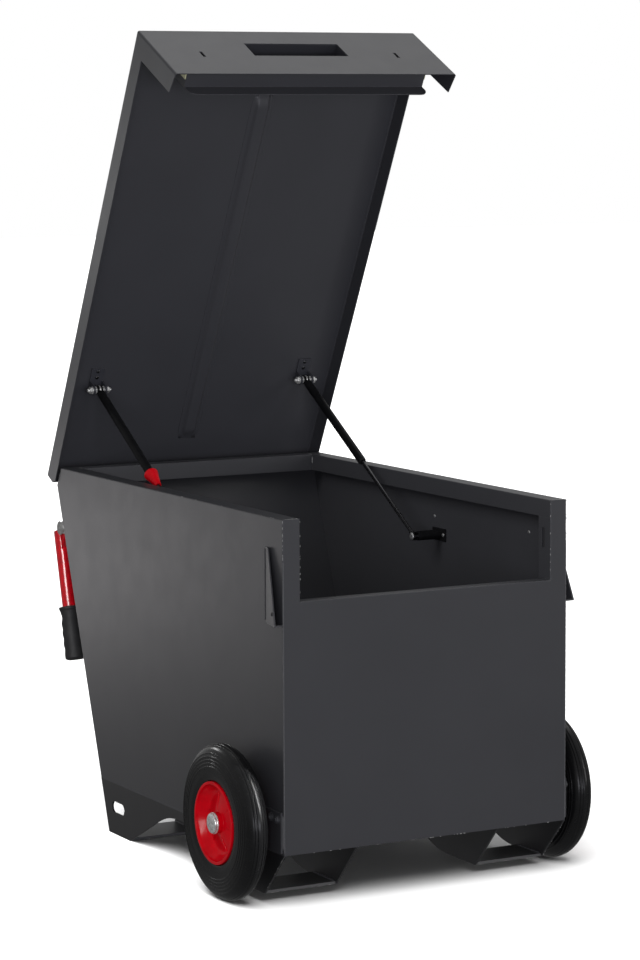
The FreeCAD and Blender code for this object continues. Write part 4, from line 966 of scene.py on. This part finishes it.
@dataclass
class Wheel:
    """One wheel: a solid tyre on a dished plastic hub with a pressed cap.

    Local X points out along the axle from the wheel's middle. The tyre's ridges and grooves are
    places and sizes as shares of its height and half width; a size is how far and how wide.
    """

    side: Side
    radius: float = 152 * MM
    hub_radius: float = 80 * MM
    half_width: float = 26 * MM
    bore: float = 14.05 * MM
    ribs: int = 6
    rib_phase: float = math.radians(13)
    ridge_heights: tuple[float, ...] = (0.40, 0.49, 0.58, 0.67, 0.76)
    ridge_size: tuple[float, float] = (0.03, 0.011)
    groove_places: tuple[float, ...] = (0.22, 0.44)
    groove_size: tuple[float, float] = (0.018, 0.030)
    cap_wall: float = 20.4 * MM
    cap_crown: float = 4.2 * MM
    cap_reach: float = 32.4 * MM
    seat: Seat = field(init=False)
    body: str = field(init=False)

    def __post_init__(self) -> None:
        """Take the place and the body from the wheel's joint."""
        self.body = f"wheel_{self.side.word}"
        self.seat = Seat(joint_place(f"{self.body}_spin"), flip=self.side is Side.LEFT)

    def build(self) -> None:
        """Make the tyre, the hub and the cap, and dress the bush."""
        word = self.side.word
        Meshwork().add(lathe(self.tyre_section(), 192), loop=True).make(
            f"moulded_tyre_{word}", TYRE, self.body, self.seat, 50, [f"tyre_{word}"])
        self.hub().make(f"dished_hub_{word}", HUB_RED, self.body, self.seat, 40, [f"wheel_hub_{word}"])
        cap = Meshwork().add(lathe(self.cap_profile(), 96))
        cap.make(f"domed_cap_{word}", CAP_METAL, self.body, self.seat, 40, [f"wheel_cap_{word}"])
        NYLON.dress(f"wheel_bush_{word}")

    def tyre_section(self) -> np.ndarray:
        """The tyre's closed section as across and radius.

        Half an outline is drawn through its corners, each a share of the half width and of the
        height, and worn round by a running mean. Each fine ridge of the flank lifts it by a
        steep bell of the height, and each groove of the tread sinks it by one of the width. The
        other half is its mirror image.

        Returns:
            The section's points.
        """
        wide = np.array([0.80, 0.91, 0.975, 0.99, 0.97, 0.92, 0.84, 0.73, 0.57, 0.38, 0.18, 0.0])
        high = np.array([0.0, 0.04, 0.20, 0.38, 0.54, 0.67, 0.78, 0.86, 0.925, 0.968, 0.992, 1.0])
        step = np.concatenate([[0], np.cumsum(np.hypot(np.diff(wide) * 0.34, np.diff(high)))])
        even = np.linspace(0, step[-1], 260)
        across, up = np.interp(even, step, wide), np.interp(even, step, high)
        reach = 7
        kernel = np.ones(2 * reach + 1) / (2 * reach + 1)
        across = np.convolve(np.pad(across, reach, mode="edge"), kernel, "valid")
        up = np.convolve(np.pad(up, reach, mode="edge"), kernel, "valid")
        (rise, rise_width), (sink, sink_width) = self.ridge_size, self.groove_size
        ridges = sum(np.exp(-((up - at) / rise_width) ** 4) for at in self.ridge_heights)
        grooves = sum(np.exp(-((across - at) / sink_width) ** 4) for at in self.groove_places)
        across, up = across + rise * ridges, up - sink * grooves * (up > 0.9)
        height = self.radius - self.hub_radius
        half = np.stack([across * self.half_width, self.hub_radius + up * height], axis=-1)
        mirror = half[-2::-1] * np.array([-1, 1])
        return np.vstack([half, mirror])

    def hub(self) -> Meshwork:
        """The dished hub, a turned section with soft corners, and its radial ribs.

        A rib is a soft-edged outline at each distance from the axle: it starts inside the web
        and rises over it by a height that grows outwards.

        Returns:
            The hub's meshwork.
        """
        rim, seat = self.hub_radius - 6 * MM, self.hub_radius + 0.4 * MM
        corners = [
            (24 * MM, self.bore), (24 * MM, 19.5 * MM), (13 * MM, 20.5 * MM), (12 * MM, 26 * MM),
            (2.5 * MM, 61 * MM), (21.5 * MM, rim - 0.6 * MM), (26.4 * MM, rim + 0.6 * MM),
            (26 * MM, seat), (-24 * MM, seat), (-24 * MM, rim), (-4 * MM, 62 * MM), (-3 * MM, 24 * MM),
            (-26 * MM, 24 * MM), (-26 * MM, self.bore),
        ]
        soft = [MM, MM, MM, 2 * MM, 9 * MM, 4 * MM, 1.5 * MM, MM, MM, 2 * MM, 5 * MM, 3 * MM, MM, MM]
        work = Meshwork().add(lathe(rounded(corners, soft, steps=7), 160), loop=True)
        away = np.linspace(22 * MM, 66 * MM, 40)
        outward = np.clip((away - 24 * MM) / (37 * MM), 0, 1)
        web = 12 * MM - 9.5 * MM * outward
        crown = web + 0.9 * MM + 1.4 * MM * outward
        foot = web - 1.5 * MM
        outline = rounded([(-1, 0), (1, 0), (0.62, 1), (-0.62, 1)], 0.35)
        for number in range(self.ribs):
            turn = math.pi - self.rib_phase + number * TURN / self.ribs
            across = outline[:, 0] * 1.1 * MM
            x = foot[:, None] + (crown - foot)[:, None] * outline[:, 1]
            y = away[:, None] * math.cos(turn) - across * math.sin(turn)
            z = away[:, None] * math.sin(turn) + across * math.cos(turn)
            work.add(np.stack([x, y, z], axis=-1))
        return work

    def cap_profile(self) -> np.ndarray:
        """The cap's outline: a lip at its foot, a straight wall and a low elliptical crown."""
        flange, neck = self.cap_wall + 0.6 * MM, self.cap_wall - 0.8 * MM
        shoulder = self.cap_reach - self.cap_crown
        bend = np.linspace(0, math.pi / 2, 24)[1:-1]
        top = np.stack([shoulder + self.cap_crown * np.sin(bend), neck * np.cos(bend) ** 0.55], axis=-1)
        lip = rounded([(23 * MM, 18 * MM), (23 * MM, flange), (25.5 * MM, flange), (26 * MM, neck),
                       (shoulder, neck)], 0.6 * MM, closed=False)
        return np.vstack([lip, top])


@dataclass
class Handle:
    """One lifting handle: an enamelled tube with a rubber grip, hanging from its bracket.

    Local Z runs up the tube and local Y out from the box, from the pivot.
    """

    side: Side
    hang: float = math.radians(14.4)
    offset: float = 41 * MM
    tube: float = 16 * MM
    top: float = 3 * MM
    length: float = 281 * MM
    grip_from: float = 167 * MM
    grip: float = 22.6 * MM
    lug: float = 12 * MM
    lug_drop: float = 45 * MM
    lug_half: float = 9 * MM
    seat: Seat = field(init=False)
    body: str = field(init=False)

    def __post_init__(self) -> None:
        """Take the place and the body from the handle's joint."""
        self.body = f"handle_{self.side.word}"
        self.seat = Seat(joint_place(f"{self.body}_fold"), turn=-self.hang)

    def build(self) -> None:
        """Make the grip, and the tube with its lug and end cap."""
        word = self.side.word
        grip = Meshwork().add(self.grip_grid())
        grip.make(f"moulded_grip_{word}", GRIP, self.body, self.seat, 45, [f"handle_grip_{word}"])
        tube = Meshwork().add(self.tube_grid()).add(self.lug_grid())
        tube.make(f"enamelled_tube_{word}", RED, self.body, self.seat, 40, [f"handle_tube_{word}"])

    def tube_grid(self) -> np.ndarray:
        """The tube with its low end cap, turned about the tube's middle line."""
        foot, top, wall = -self.length, -self.top, self.tube
        profile = np.array([
            (foot, wall - 0.6 * MM), (foot + 0.6 * MM, wall), (top - 0.6 * MM, wall),
            (top, wall - 0.4 * MM), (top + 1.2 * MM, wall - MM), (top + 2.2 * MM, wall - 4 * MM),
            (top + 2.6 * MM, 4 * MM),
        ])
        return lathe(profile, 128, Axis.Z, (0.0, self.offset, 0.0))

    def lug_grid(self) -> np.ndarray:
        """The lug that joins the tube to its pivot.

        Its outline is half a circle round the pivot and two corners inside the tube. The
        outline is stacked across the lug, and the outermost ones are drawn in a little.

        Returns:
            The grid of points, a row for each outline.
        """
        bend = np.linspace(math.pi / 2, 1.5 * math.pi, 19)
        round_end = self.lug * np.stack([np.cos(bend), np.sin(bend)], axis=-1)
        inside = self.offset - 0.7 * self.tube
        outline = np.vstack([round_end, [(inside, -self.lug_drop), (inside, -self.top)]])
        across = self.lug_half * np.array([-1.0, -0.93, 0.93, 1.0])
        drawn = np.array([0.96, 1.0, 1.0, 0.96])[:, None, None] * outline
        across = np.broadcast_to(across[:, None, None], drawn.shape[:2] + (1,))
        return np.concatenate([across, drawn], axis=-1)

    def grip_grid(self) -> np.ndarray:
        """The grip as rings down the tube.

        The radius starts in a flared collar, falls behind it, swells slightly towards the end
        and turns in over the tube's end. Four finger hollows, each a cosine wave, are taken
        from the side away from the box by a share that falls off round the ring.

        Returns:
            The grid of points, a row for each ring.
        """
        low = -self.length - 2.5 * MM
        span = -self.grip_from - low
        share = np.linspace(0, 1, 120)
        collar = 1.6 * MM * np.exp(-((share * span - 4 * MM) / (4 * MM)) ** 4)
        body = self.grip - 1.8 * MM * np.exp(-((share * span - 22 * MM) / (12 * MM)) ** 2)
        end = np.clip((share - 0.955) / 0.045, 0, 1)
        radius = (body + collar) * np.sqrt(1 - 0.55 * end**2)
        turn = np.arange(72) * TURN / 72
        ring = 5.0 * MM
        along = np.clip((share * span - 2.5 * ring) / (span - 5 * ring), 0, 1)
        finger = 0.5 - 0.5 * np.cos(4 * TURN * along)
        outer = (0.5 + 0.5 * np.sin(turn)) ** 1.5
        full = radius[:, None] - 2.1 * MM * finger[:, None] * outer
        full[0] = self.tube + 0.4 * MM
        z = np.broadcast_to((-self.grip_from - share * span)[:, None], full.shape)
        return np.stack([full * np.cos(turn), self.offset + full * np.sin(turn), z], axis=-1)


@dataclass
class Lid:
    """The folded lid with its pressed rib, lock housing, locks and strut brackets.

    Local coordinates are the frame's with the lid shut.
    """

    open_angle: float = math.radians(JOINTS["lid_hinge"]["range_deg"][1])
    seat: Seat = field(init=False)

    def __post_init__(self) -> None:
        """Take the hinge line from the lid's joint."""
        hinge = joint_place("lid_hinge")
        self.seat = Seat(hinge, -self.open_angle, centre=hinge)

    def build(self) -> None:
        """Dress the sheets and make the rib, the studs and the small parts."""
        words = [side.word for side in Side]
        COAT.dress("lid_shell", "hinge_leaf_lid", "lock_housing")
        # The hand recess and the lid brackets take the darker, bluer coat as painted shade.
        COAT_PAINTED_SHADE_INSIDE.dress("hand_recess", *[f"lid_bracket_{word}" for word in words])
        # The lock barrels are black so that the key slots read dark: painted shade.
        BLACK.dress("lock_barrels", *[f"lock_case_{word}" for word in words])
        ZINC.dress(*[f"lock_bolt_{word}" for word in words])
        self.rib()
        self.glides()
        self.studs()
        self.screws()
        self.welds()

    def rib(self) -> None:
        """The pressed rib: a soft trapezoid section that sinks into the sheet at both ends."""
        low, high = self.seat.box("lid_rib")
        sheet = high[2]
        length = high[1] - low[1]
        half = high[0]
        share = np.linspace(0, 1, 140)
        rise = np.clip(np.minimum(share, 1 - share) * length / (26 * MM), 0, 1)
        rise = rise * rise * (3 - 2 * rise)
        depth = (high[2] - low[2]) * (0.06 + 0.94 * rise)
        left = [(-1.0, 0), (-1.0, 0.08), (-0.66, 0.10), (-0.46, 1)]
        right = [(-across, up) for across, up in reversed(left)]
        soft = [0.01, 0.03, 0.14, 0.22]
        outline = rounded(left + right, soft + soft[::-1], steps=7)
        wide = half * (0.80 + 0.20 * rise)
        x = wide[:, None] * outline[:, 0]
        y = np.broadcast_to((low[1] + share * length)[:, None], x.shape)
        z = sheet - 0.05 * MM - depth[:, None] * outline[:, 1]
        work = Meshwork().add(np.stack([x, y, z], axis=-1))
        work.make("pressed_rib", COAT, "lid", self.seat, 60, ["lid_rib"])

    def glides(self) -> None:
        """Pale plastic strips on the ends of the lock housing, which guide it into the opening."""
        low, high = self.seat.box("lock_housing")
        front, rear = high[1] - 38 * MM, high[1] - 17.5 * MM
        foot, top = low[2] + 34 * MM, low[2] + 75 * MM
        work = Meshwork()
        for side in Side:
            near, far = sorted([side.value * high[0], side.value * (high[0] + 2.4 * MM)])
            work.add(block((near, front, foot), (far, rear, top), 0.8 * MM))
        work.make("housing_glides", GLIDE, "lid", self.seat)

    def studs(self) -> None:
        """The studs that carry the struts: a collar, a washer, a nut and a threaded end each way."""
        low, high = self.seat.box("lid_bracket_studs")
        y, z = (low[1] + high[1]) / 2, (low[2] + high[2]) / 2
        reach = high[0] - STRUT_PLANE
        eye, arm_in, arm_out = 6.5 * MM, 12 * MM, 15 * MM
        rod, pitch, nut = 4 * MM, 1.25 * MM, 6.2 * MM
        tip = arm_out + 7 * MM
        work = Meshwork()
        for side in Side:
            middle = side.value * STRUT_PLANE
            for hand in (-1, 1):
                pieces = [
                    washer(0.0, 1.4 * MM, rod, 9.6 * MM),
                    hexagon(eye, arm_in - eye, 8.6 * MM, phase=0.3),
                    washer(arm_out, 1.2 * MM, rod, 8.2 * MM),
                    hexagon(arm_out + 1.2 * MM, nut, 7.8 * MM, phase=0.8),
                    thread(tip, reach - tip, rod, pitch),
                    lathe(np.array([(eye, rod), (tip, rod)]), 24),
                ]
                for grid in pieces:
                    work.add(grid * np.array([hand, 1, 1]) + np.array([middle, y, z]))
        work.make("strut_studs", ZINC, "lid", self.seat, 30, ["lid_bracket_studs"])

    def screws(self) -> None:
        """Domed rivets that hold the brackets to the lid."""
        low, high = self.seat.box("lid_bracket_screws")
        work = Meshwork()
        for side in Side:
            for y in (low[1] + 4 * MM, high[1] - 4 * MM):
                grid = dome(0.0, 2 * MM, 4 * MM, Axis.Z) * np.array([1, 1, -1])
                work.add(grid + np.array([side.value * STRUT_PLANE, y, high[2]]))
        work.make("bracket_rivets", ROD_METAL, "lid", self.seat, 40, ["lid_bracket_screws"])

    def welds(self) -> None:
        """Beads inside the lid where the lock housing meets the sheet."""
        low, high = self.seat.box("lock_housing")
        work = Meshwork()
        y, z = high[1] - 15 * MM, high[2] - 0.3 * MM
        beads, length = 5, 30 * MM
        for step in range(beads):
            x = low[0] + length + step * (high[0] - low[0] - 3 * length) / (beads - 1)
            work.add(bead((x, y, z), (x + length, y, z), 2 * MM, 70 + step))
        # The beads' lighter coat is a painted highlight.
        work.make("housing_welds", WELD, "lid", self.seat)


@dataclass
class GasStrut:
    """One gas strut: an enamelled tube on a dark rod, between two eyes.

    Local Y runs up the strut from its lower pivot.
    """

    side: Side
    seat: Seat = field(init=False)

    def __post_init__(self) -> None:
        """Take the lower pivot and the strut's direction from its joints."""
        along = JOINTS[f"strut_slide_{self.side.word}"]["axis"]
        self.seat = Seat(joint_place(f"strut_foot_{self.side.word}"), math.atan2(along[2], along[1]))

    def build(self) -> None:
        """Dress the tube and the rod, and make the release on the left or the seal on the right."""
        word = self.side.word
        BLACK.dress(f"strut_tube_{word}")
        ROD_METAL.dress(f"strut_rod_{word}")
        start = self.seat.box(f"strut_tube_{word}")[0][1]
        if self.side is Side.LEFT:
            self.release()
            return
        seal = Meshwork().add(washer(start - 2.4 * MM, 2.4 * MM, 4.3 * MM, 8 * MM, Axis.Y), loop=True)
        seal.make(f"rod_seal_{word}", GRIP, f"strut_tube_{word}", self.seat)

    def release(self) -> None:
        """The release sleeve: a flared turned shape with a rolled rim and grip rings."""
        low, high = self.seat.box("strut_release")
        start, end, wide = low[1], high[1], high[2]
        share = np.linspace(0, 1, 80)
        flare = 7 * MM + (wide - 7 * MM) * np.clip(share / 0.86, 0, 1) ** 1.25
        rings = 0.45 * MM * np.maximum(0, np.sin(TURN * share * 7)) * (share > 0.12) * (share < 0.72)
        rim = np.clip((share - 0.92) / 0.08, 0, 1)
        outside = np.stack([start + share * (end - start), flare - rings - 2.2 * MM * rim**2], axis=-1)
        tube, rod, depth = 9.15 * MM, 4.2 * MM, 5.5 * MM
        inside = np.array([(end, tube), (end - depth, tube), (end - depth, rod), (start, rod)])
        work = Meshwork().add(lathe(np.vstack([outside, inside]), 72, Axis.Y), loop=True)
        work.make("flared_release", RELEASE_RED, "release", self.seat, 45, ["strut_release"])


def wall_bracket_pins() -> None:
    """The struts' lower pins with domed heads, and the rivets of their wall brackets."""
    foot = np.array(joint_place("strut_foot_right")) * np.array([0, 1, 1])
    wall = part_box("wall_bracket_right")[1][0] - WALL
    near, far, radius = STRUT_PLANE - 6.5 * MM, STRUT_PLANE + 18 * MM, 4 * MM
    pin = lathe(np.array([(near, radius), (far, radius)]), 24)
    head = dome(0.0, 3 * MM, 8 * MM) * INWARD + np.array([near, 0, 0])
    rivet = dome(0.0, 2 * MM, 4 * MM) * INWARD
    work = Meshwork()
    for side in Side:
        for grid in (pin, head):
            work.add(grid * side.mirror + foot)
        for step in (-18 * MM, 18 * MM):
            work.add((rivet + foot + np.array([wall, step, 0])) * side.mirror)
    work.make("strut_pins", ZINC, "box", stands_for=["wall_bracket_pins"])


def axle_bolts() -> None:
    """Hexagon bolts with washers through the side panels and the axle plates."""
    low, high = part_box("axle_plate_bolts")
    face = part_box("side_panel_right")[1][0] + 5 * MM
    inner = face - 8 * MM
    axle = joint_place("wheel_right_spin")[1]
    z = (low[2] + high[2]) / 2
    corner, radius = 7.5 * MM, 4 * MM
    first = low[1] + corner * math.cos(math.pi / 6)
    tip = inner - 7 * MM
    shank = lathe(np.array([(tip, 3.2 * MM), (tip + 0.6 * MM, radius), (face + 6 * MM, radius)]), 24)
    work = Meshwork()
    for side in Side:
        for near in (first, first + 26 * MM):
            for y in (near, 2 * axle - near):
                for grid in (
                    washer(face, 1.4 * MM, radius, 9 * MM),
                    hexagon(face + 1.4 * MM, 4.6 * MM, corner, phase=0.2 + 7 * y),
                    thread(face + 6 * MM, 1.6 * MM, radius, 1.25 * MM),
                    washer(inner - 1.2 * MM, 1.2 * MM, radius, 8.4 * MM),
                    hexagon(inner - 6 * MM, 4.8 * MM, corner, phase=0.5 + 9 * y),
                    shank,
                ):
                    work.add((grid + np.array([0, y, z])) * side.mirror)
    work.make("axle_bolts", COAT, "box", stands_for=["axle_plate_bolts"])


def handle_pins() -> None:
    """The handles' pivot pins with domed heads and washers."""
    cheek, radius = 13 * MM, 5 * MM
    pin = lathe(np.array([(-cheek - 0.5 * MM, radius), (cheek + 0.5 * MM, radius)]), 32)
    plate = washer(cheek, MM, 2 * MM, 15 * MM, at=(0.0, 15 * MM, -3 * MM))
    head = dome(cheek + MM, 4 * MM, 8.6 * MM)
    work = Meshwork()
    for side in Side:
        pivot = np.array(joint_place(f"handle_{side.word}_fold"))
        for grid in (pin, plate * INWARD, head * INWARD, plate, head):
            work.add(grid + pivot)
    work.make("handle_pivot_pins", DULL_ZINC, "box", stands_for=["handle_pins"])


WHITE: Colour = (1.0, 1.0, 1.0)
WARM: Colour = (1.0, 0.97, 0.98)
COOL: Colour = (0.95, 0.96, 1.06)
MIDDLE: Point = (0.0, 0.0, 0.7)


@dataclass(frozen=True)
class Softbox:
    """A rectangular lamp that hangs at a place and faces a target.

    It lights the pieces whose names begin in one of the given ways, or all but the floor where
    none is given. One that is for gloss only shows in a piece's gloss and nowhere else.
    """

    name: str
    place: Point
    target: Point
    size: tuple[float, float]
    power: float
    colour: Colour = WHITE
    only: tuple[str, ...] = ()
    gloss_only: bool = False

    def hang(self, others: bpy.types.Collection) -> None:
        """Make the lamp.

        Args:
            others: what it lights where no names are given.
        """
        light = bpy.data.lights.new(self.name, "AREA")
        light.color = self.colour
        light.shape = "RECTANGLE"
        light.size, light.size_y = self.size
        light.energy = self.power
        lamp = bpy.data.objects.new(self.name, light)
        lamp.location = self.place
        lamp.visible_diffuse = not self.gloss_only
        ahead = Vector(self.target) - Vector(self.place)
        lamp.rotation_euler = ahead.to_track_quat("-Z", "Y").to_euler()
        bpy.context.scene.collection.objects.link(lamp)
        lamp.light_linking.receiver_collection = self.pieces() if self.only else others

    def pieces(self) -> bpy.types.Collection:
        """Gather the pieces that the lamp is for."""
        chosen = bpy.data.collections.new(f"lit_by_{self.name}")
        for piece in bpy.context.scene.objects:
            if piece.type == "MESH" and piece.name.startswith(self.only):
                chosen.objects.link(piece)
        return chosen


SOFTBOXES = (
    Softbox("light_over", (2.8, 3.0, 8.0), MIDDLE, (8.0, 6.0), 150),
    Softbox("light_left", (-1.20, 2.5, 0.26), (-0.36, 0.4, 0.4), (0.9, 0.5), 3.8, WARM,
            ("side_panel", "lid_", "hinge", "front_", "rear_", "skid", "edge_nicks")),
    Softbox("light_lid", (-1.25, 2.6, 1.25), (-0.38, 0.7, 1.2), (0.6, 0.5), 2.5, only=("lid_shell",)),
    Softbox("light_lid_inside", (-1.6, -5.0, 1.2), (0.0, 0.6, 1.1), (1.5, 1.5), 50, COOL,
            ("lid_shell", "lid_bracket", "bracket_rivets", "pressed_rib", "lid_rib", "lock_housing")),
    Softbox("light_reds", (-2.6, -2.7, 1.15), (-0.36, 0.1, 0.4), (0.5, 2.2), 52,
            only=("dished_hub", "domed_cap", "strut_studs", "handle_pivot")),
    Softbox("light_handle", (-3.36, -2.0, 1.55), (-0.36, 0.5, 0.5), (2.2, 1.8), 85,
            only=("enamelled_tube", "moulded_grip")),
    Softbox("light_streak", (-3.36, -2.0, 1.55), (-0.36, 0.5, 0.5), (1.8, 5.0), 850,
            only=("enamelled_tube",), gloss_only=True),
    Softbox("light_flank", (-1.25, 2.6, 1.6), (-0.38, -0.2, 0.2), (0.3, 0.3), 8,
            only=("moulded_tyre_left",)),
    Softbox("light_tread", (1.1, -2.2, 2.0), (-0.36, -0.3, 0.2), (0.05, 2.3), 130,
            only=("moulded_tyre_left",)),
    Softbox("light_inside", (-2.0, -0.4, 2.2), (0.3, 0.0, 0.5), (1.2, 1.5), 22,
            only=("side_panel_right", "front_panel", "rear_panel", "floor_panel", "wall_bracket")),
    Softbox("light_key", (-5.0, -9.0, 0.9), MIDDLE, (3.8, 1.8), 165, COOL),
    Softbox("light_front", (1.0, -9.6, 0.6), MIDDLE, (2.8, 1.2), 78, COOL),
    Softbox("light_right", (3.4, -3.2, 1.6), MIDDLE, (0.4, 2.2), 20),
)


@dataclass
class Studio:
    """The white floor, the soft lights and the camera at the photograph's place.

    Each floor light is its turn from behind the object, its tilt from overhead and its strength.
    """

    eye: Point = (-3.0525, -5.7203, 1.5034)
    yaw: float = math.radians(28.543)
    pitch: float = math.radians(6.607)
    roll: float = math.radians(-0.252)
    lens: float = 118.74
    sensor: float = 36.0
    floor: float = 30.0
    floor_lights: tuple[Point, ...] = ((0, 38, 4.4), (-80, 25, 2.0), (-140, 40, 1.2))
    floor_softness: float = math.radians(42)
    ambient: float = 0.40
    back_wall: float = 0.68

    def build(self) -> None:
        """Lay the floor, light the world, hang the lights and set up the camera."""
        others = bpy.data.collections.new("all_but_floor")
        self.light_floor(self.lay_floor(), others)
        self.light_world()
        for softbox in SOFTBOXES:
            softbox.hang(others)
        self.aim_camera()

    def light_floor(self, floor: bpy.types.Object, others: bpy.types.Collection) -> None:
        """Light the floor alone, so that it is white up to the object's shadow.

        Args:
            floor: the floor.
            others: what the softboxes light, which the floor is left out of.
        """
        only = bpy.data.collections.new("floor_only")
        only.objects.link(floor)
        others.objects.link(floor)
        others.collection_objects[0].light_linking.link_state = "EXCLUDE"
        for number, (turn, tilt, energy) in enumerate(self.floor_lights):
            light = bpy.data.lights.new(f"light_floor_{number}", "SUN")
            light.energy = energy
            light.angle = self.floor_softness
            lamp = bpy.data.objects.new(light.name, light)
            lamp.rotation_euler = (math.radians(tilt), 0.0, math.radians(turn) - self.yaw)
            bpy.context.scene.collection.objects.link(lamp)
            lamp.light_linking.receiver_collection = only

    def lay_floor(self) -> bpy.types.Object:
        """A wide white floor that neither lights the object nor shows in its gloss."""
        half = self.floor
        mesh = bpy.data.meshes.new("studio_floor")
        outline = [(-half, -half, 0), (half, -half, 0), (half, half, 0), (-half, half, 0)]
        mesh.from_pydata(outline, [], [(0, 1, 2, 3)])
        graph = Graph("studio_white")
        graph.constants(Specular_IOR_Level=0.1)
        patch = graph.spread(graph.noise(600 * MM, 2), 0.2, 0.8)
        white = graph.blend(patch, (0.78, 0.78, 0.78), (0.80, 0.80, 0.80))
        mesh.materials.append(graph.finish(white, 0.8))
        floor = bpy.data.objects.new("studio_floor", mesh)
        floor.visible_diffuse = False
        floor.visible_glossy = False
        bpy.context.scene.collection.objects.link(floor)
        floor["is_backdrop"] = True
        return floor

    def light_world(self) -> None:
        """The room: white where the camera looks, and a dim light that is brighter at the back wall.

        As a light it is the back wall times a factor that falls with height, plus the ambient.
        """
        world = bpy.data.worlds.new("studio_world")
        world.use_nodes = True
        bpy.context.scene.world = world
        nodes, links = world.node_tree.nodes, world.node_tree.links
        ray = nodes.new("ShaderNodeTexCoord").outputs["Generated"]

        def step(kind: str, *values: object) -> object:
            """One step of arithmetic on sockets, such as MULTIPLY."""
            made = nodes.new("ShaderNodeMath")
            made.operation = kind
            for place, value in enumerate(values):
                links.new(value, made.inputs[place])
            return made.outputs[0]

        def facing(direction: Point, low: float, high: float, to: tuple[float, float]) -> object:
            """How far a ray faces a direction, carried to a range of brightness."""
            both = nodes.new("ShaderNodeVectorMath")
            both.operation = "DOT_PRODUCT"
            both.inputs[1].default_value = direction
            links.new(ray, both.inputs[0])
            spread = nodes.new("ShaderNodeMapRange")
            spread.interpolation_type = "SMOOTHSTEP"
            for key, value in zip(("From Min", "From Max", "To Min", "To Max"), (low, high, *to)):
                spread.inputs[key].default_value = value
            links.new(both.outputs["Value"], spread.inputs["Value"])
            return spread.outputs[0]

        rear = (math.sin(self.yaw), math.cos(self.yaw), 0.0)
        upward = (0.0, 0.0, 1.0)
        horizon = (-0.10, 0.05)
        behind = step("MULTIPLY", facing(rear, 0.55, 0.95, (0.0, self.back_wall - self.ambient)),
                      facing(upward, *horizon, (0.0, 1.0)))
        falling = facing(upward, 0.12, 0.36, (1.0, -0.6))
        around = facing(upward, *horizon, (0.5 * self.ambient, self.ambient))
        shown = nodes.new("ShaderNodeMix")
        links.new(nodes.new("ShaderNodeLightPath").outputs["Is Camera Ray"], shown.inputs[0])
        links.new(step("MULTIPLY_ADD", behind, falling, around), shown.inputs[2])
        shown.inputs[3].default_value = 1.0
        back = nodes["Background"]
        back.inputs["Color"].default_value = (*WHITE, 1.0)
        links.new(shown.outputs[0], back.inputs["Strength"])

    def aim_camera(self) -> None:
        """Put the camera where the photograph was taken, turned by its yaw, pitch and roll."""
        sine, cosine = math.sin(self.yaw), math.cos(self.yaw)
        run, drop = math.cos(self.pitch), math.sin(self.pitch)
        ahead = Vector((run * sine, run * cosine, -drop))
        level = Vector((cosine, -sine, 0))
        upright = level.cross(ahead)
        right = math.cos(self.roll) * level + math.sin(self.roll) * upright
        up = math.cos(self.roll) * upright - math.sin(self.roll) * level
        turn = Matrix((right, up, -ahead)).transposed()
        data = bpy.data.cameras.new("camera")
        data.lens = self.lens
        data.sensor_width = self.sensor
        camera = bpy.data.objects.new("camera", data)
        camera.matrix_world = Matrix.Translation(self.eye) @ turn.to_4x4()
        bpy.context.scene.collection.objects.link(camera)
        bpy.context.scene.camera = camera


def corners() -> list[list[float]]:
    """The whole object's box as two plain lists."""
    return [[float(value) for value in corner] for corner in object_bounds()]


def main() -> None:
    """Build the object's sub-assemblies in order, then the studio."""
    logging.basicConfig(level=logging.INFO, format="%(message)s")
    bpy.context.scene.view_settings.view_transform = "Standard"
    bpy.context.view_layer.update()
    Coachwork().build()
    for side in Side:
        Wheel(side).build()
        Handle(side).build()
        GasStrut(side).build()
    Lid().build()
    wall_bracket_pins()
    axle_bolts()
    handle_pins()
    Studio().build()


if __name__ == "__main__":
    main()
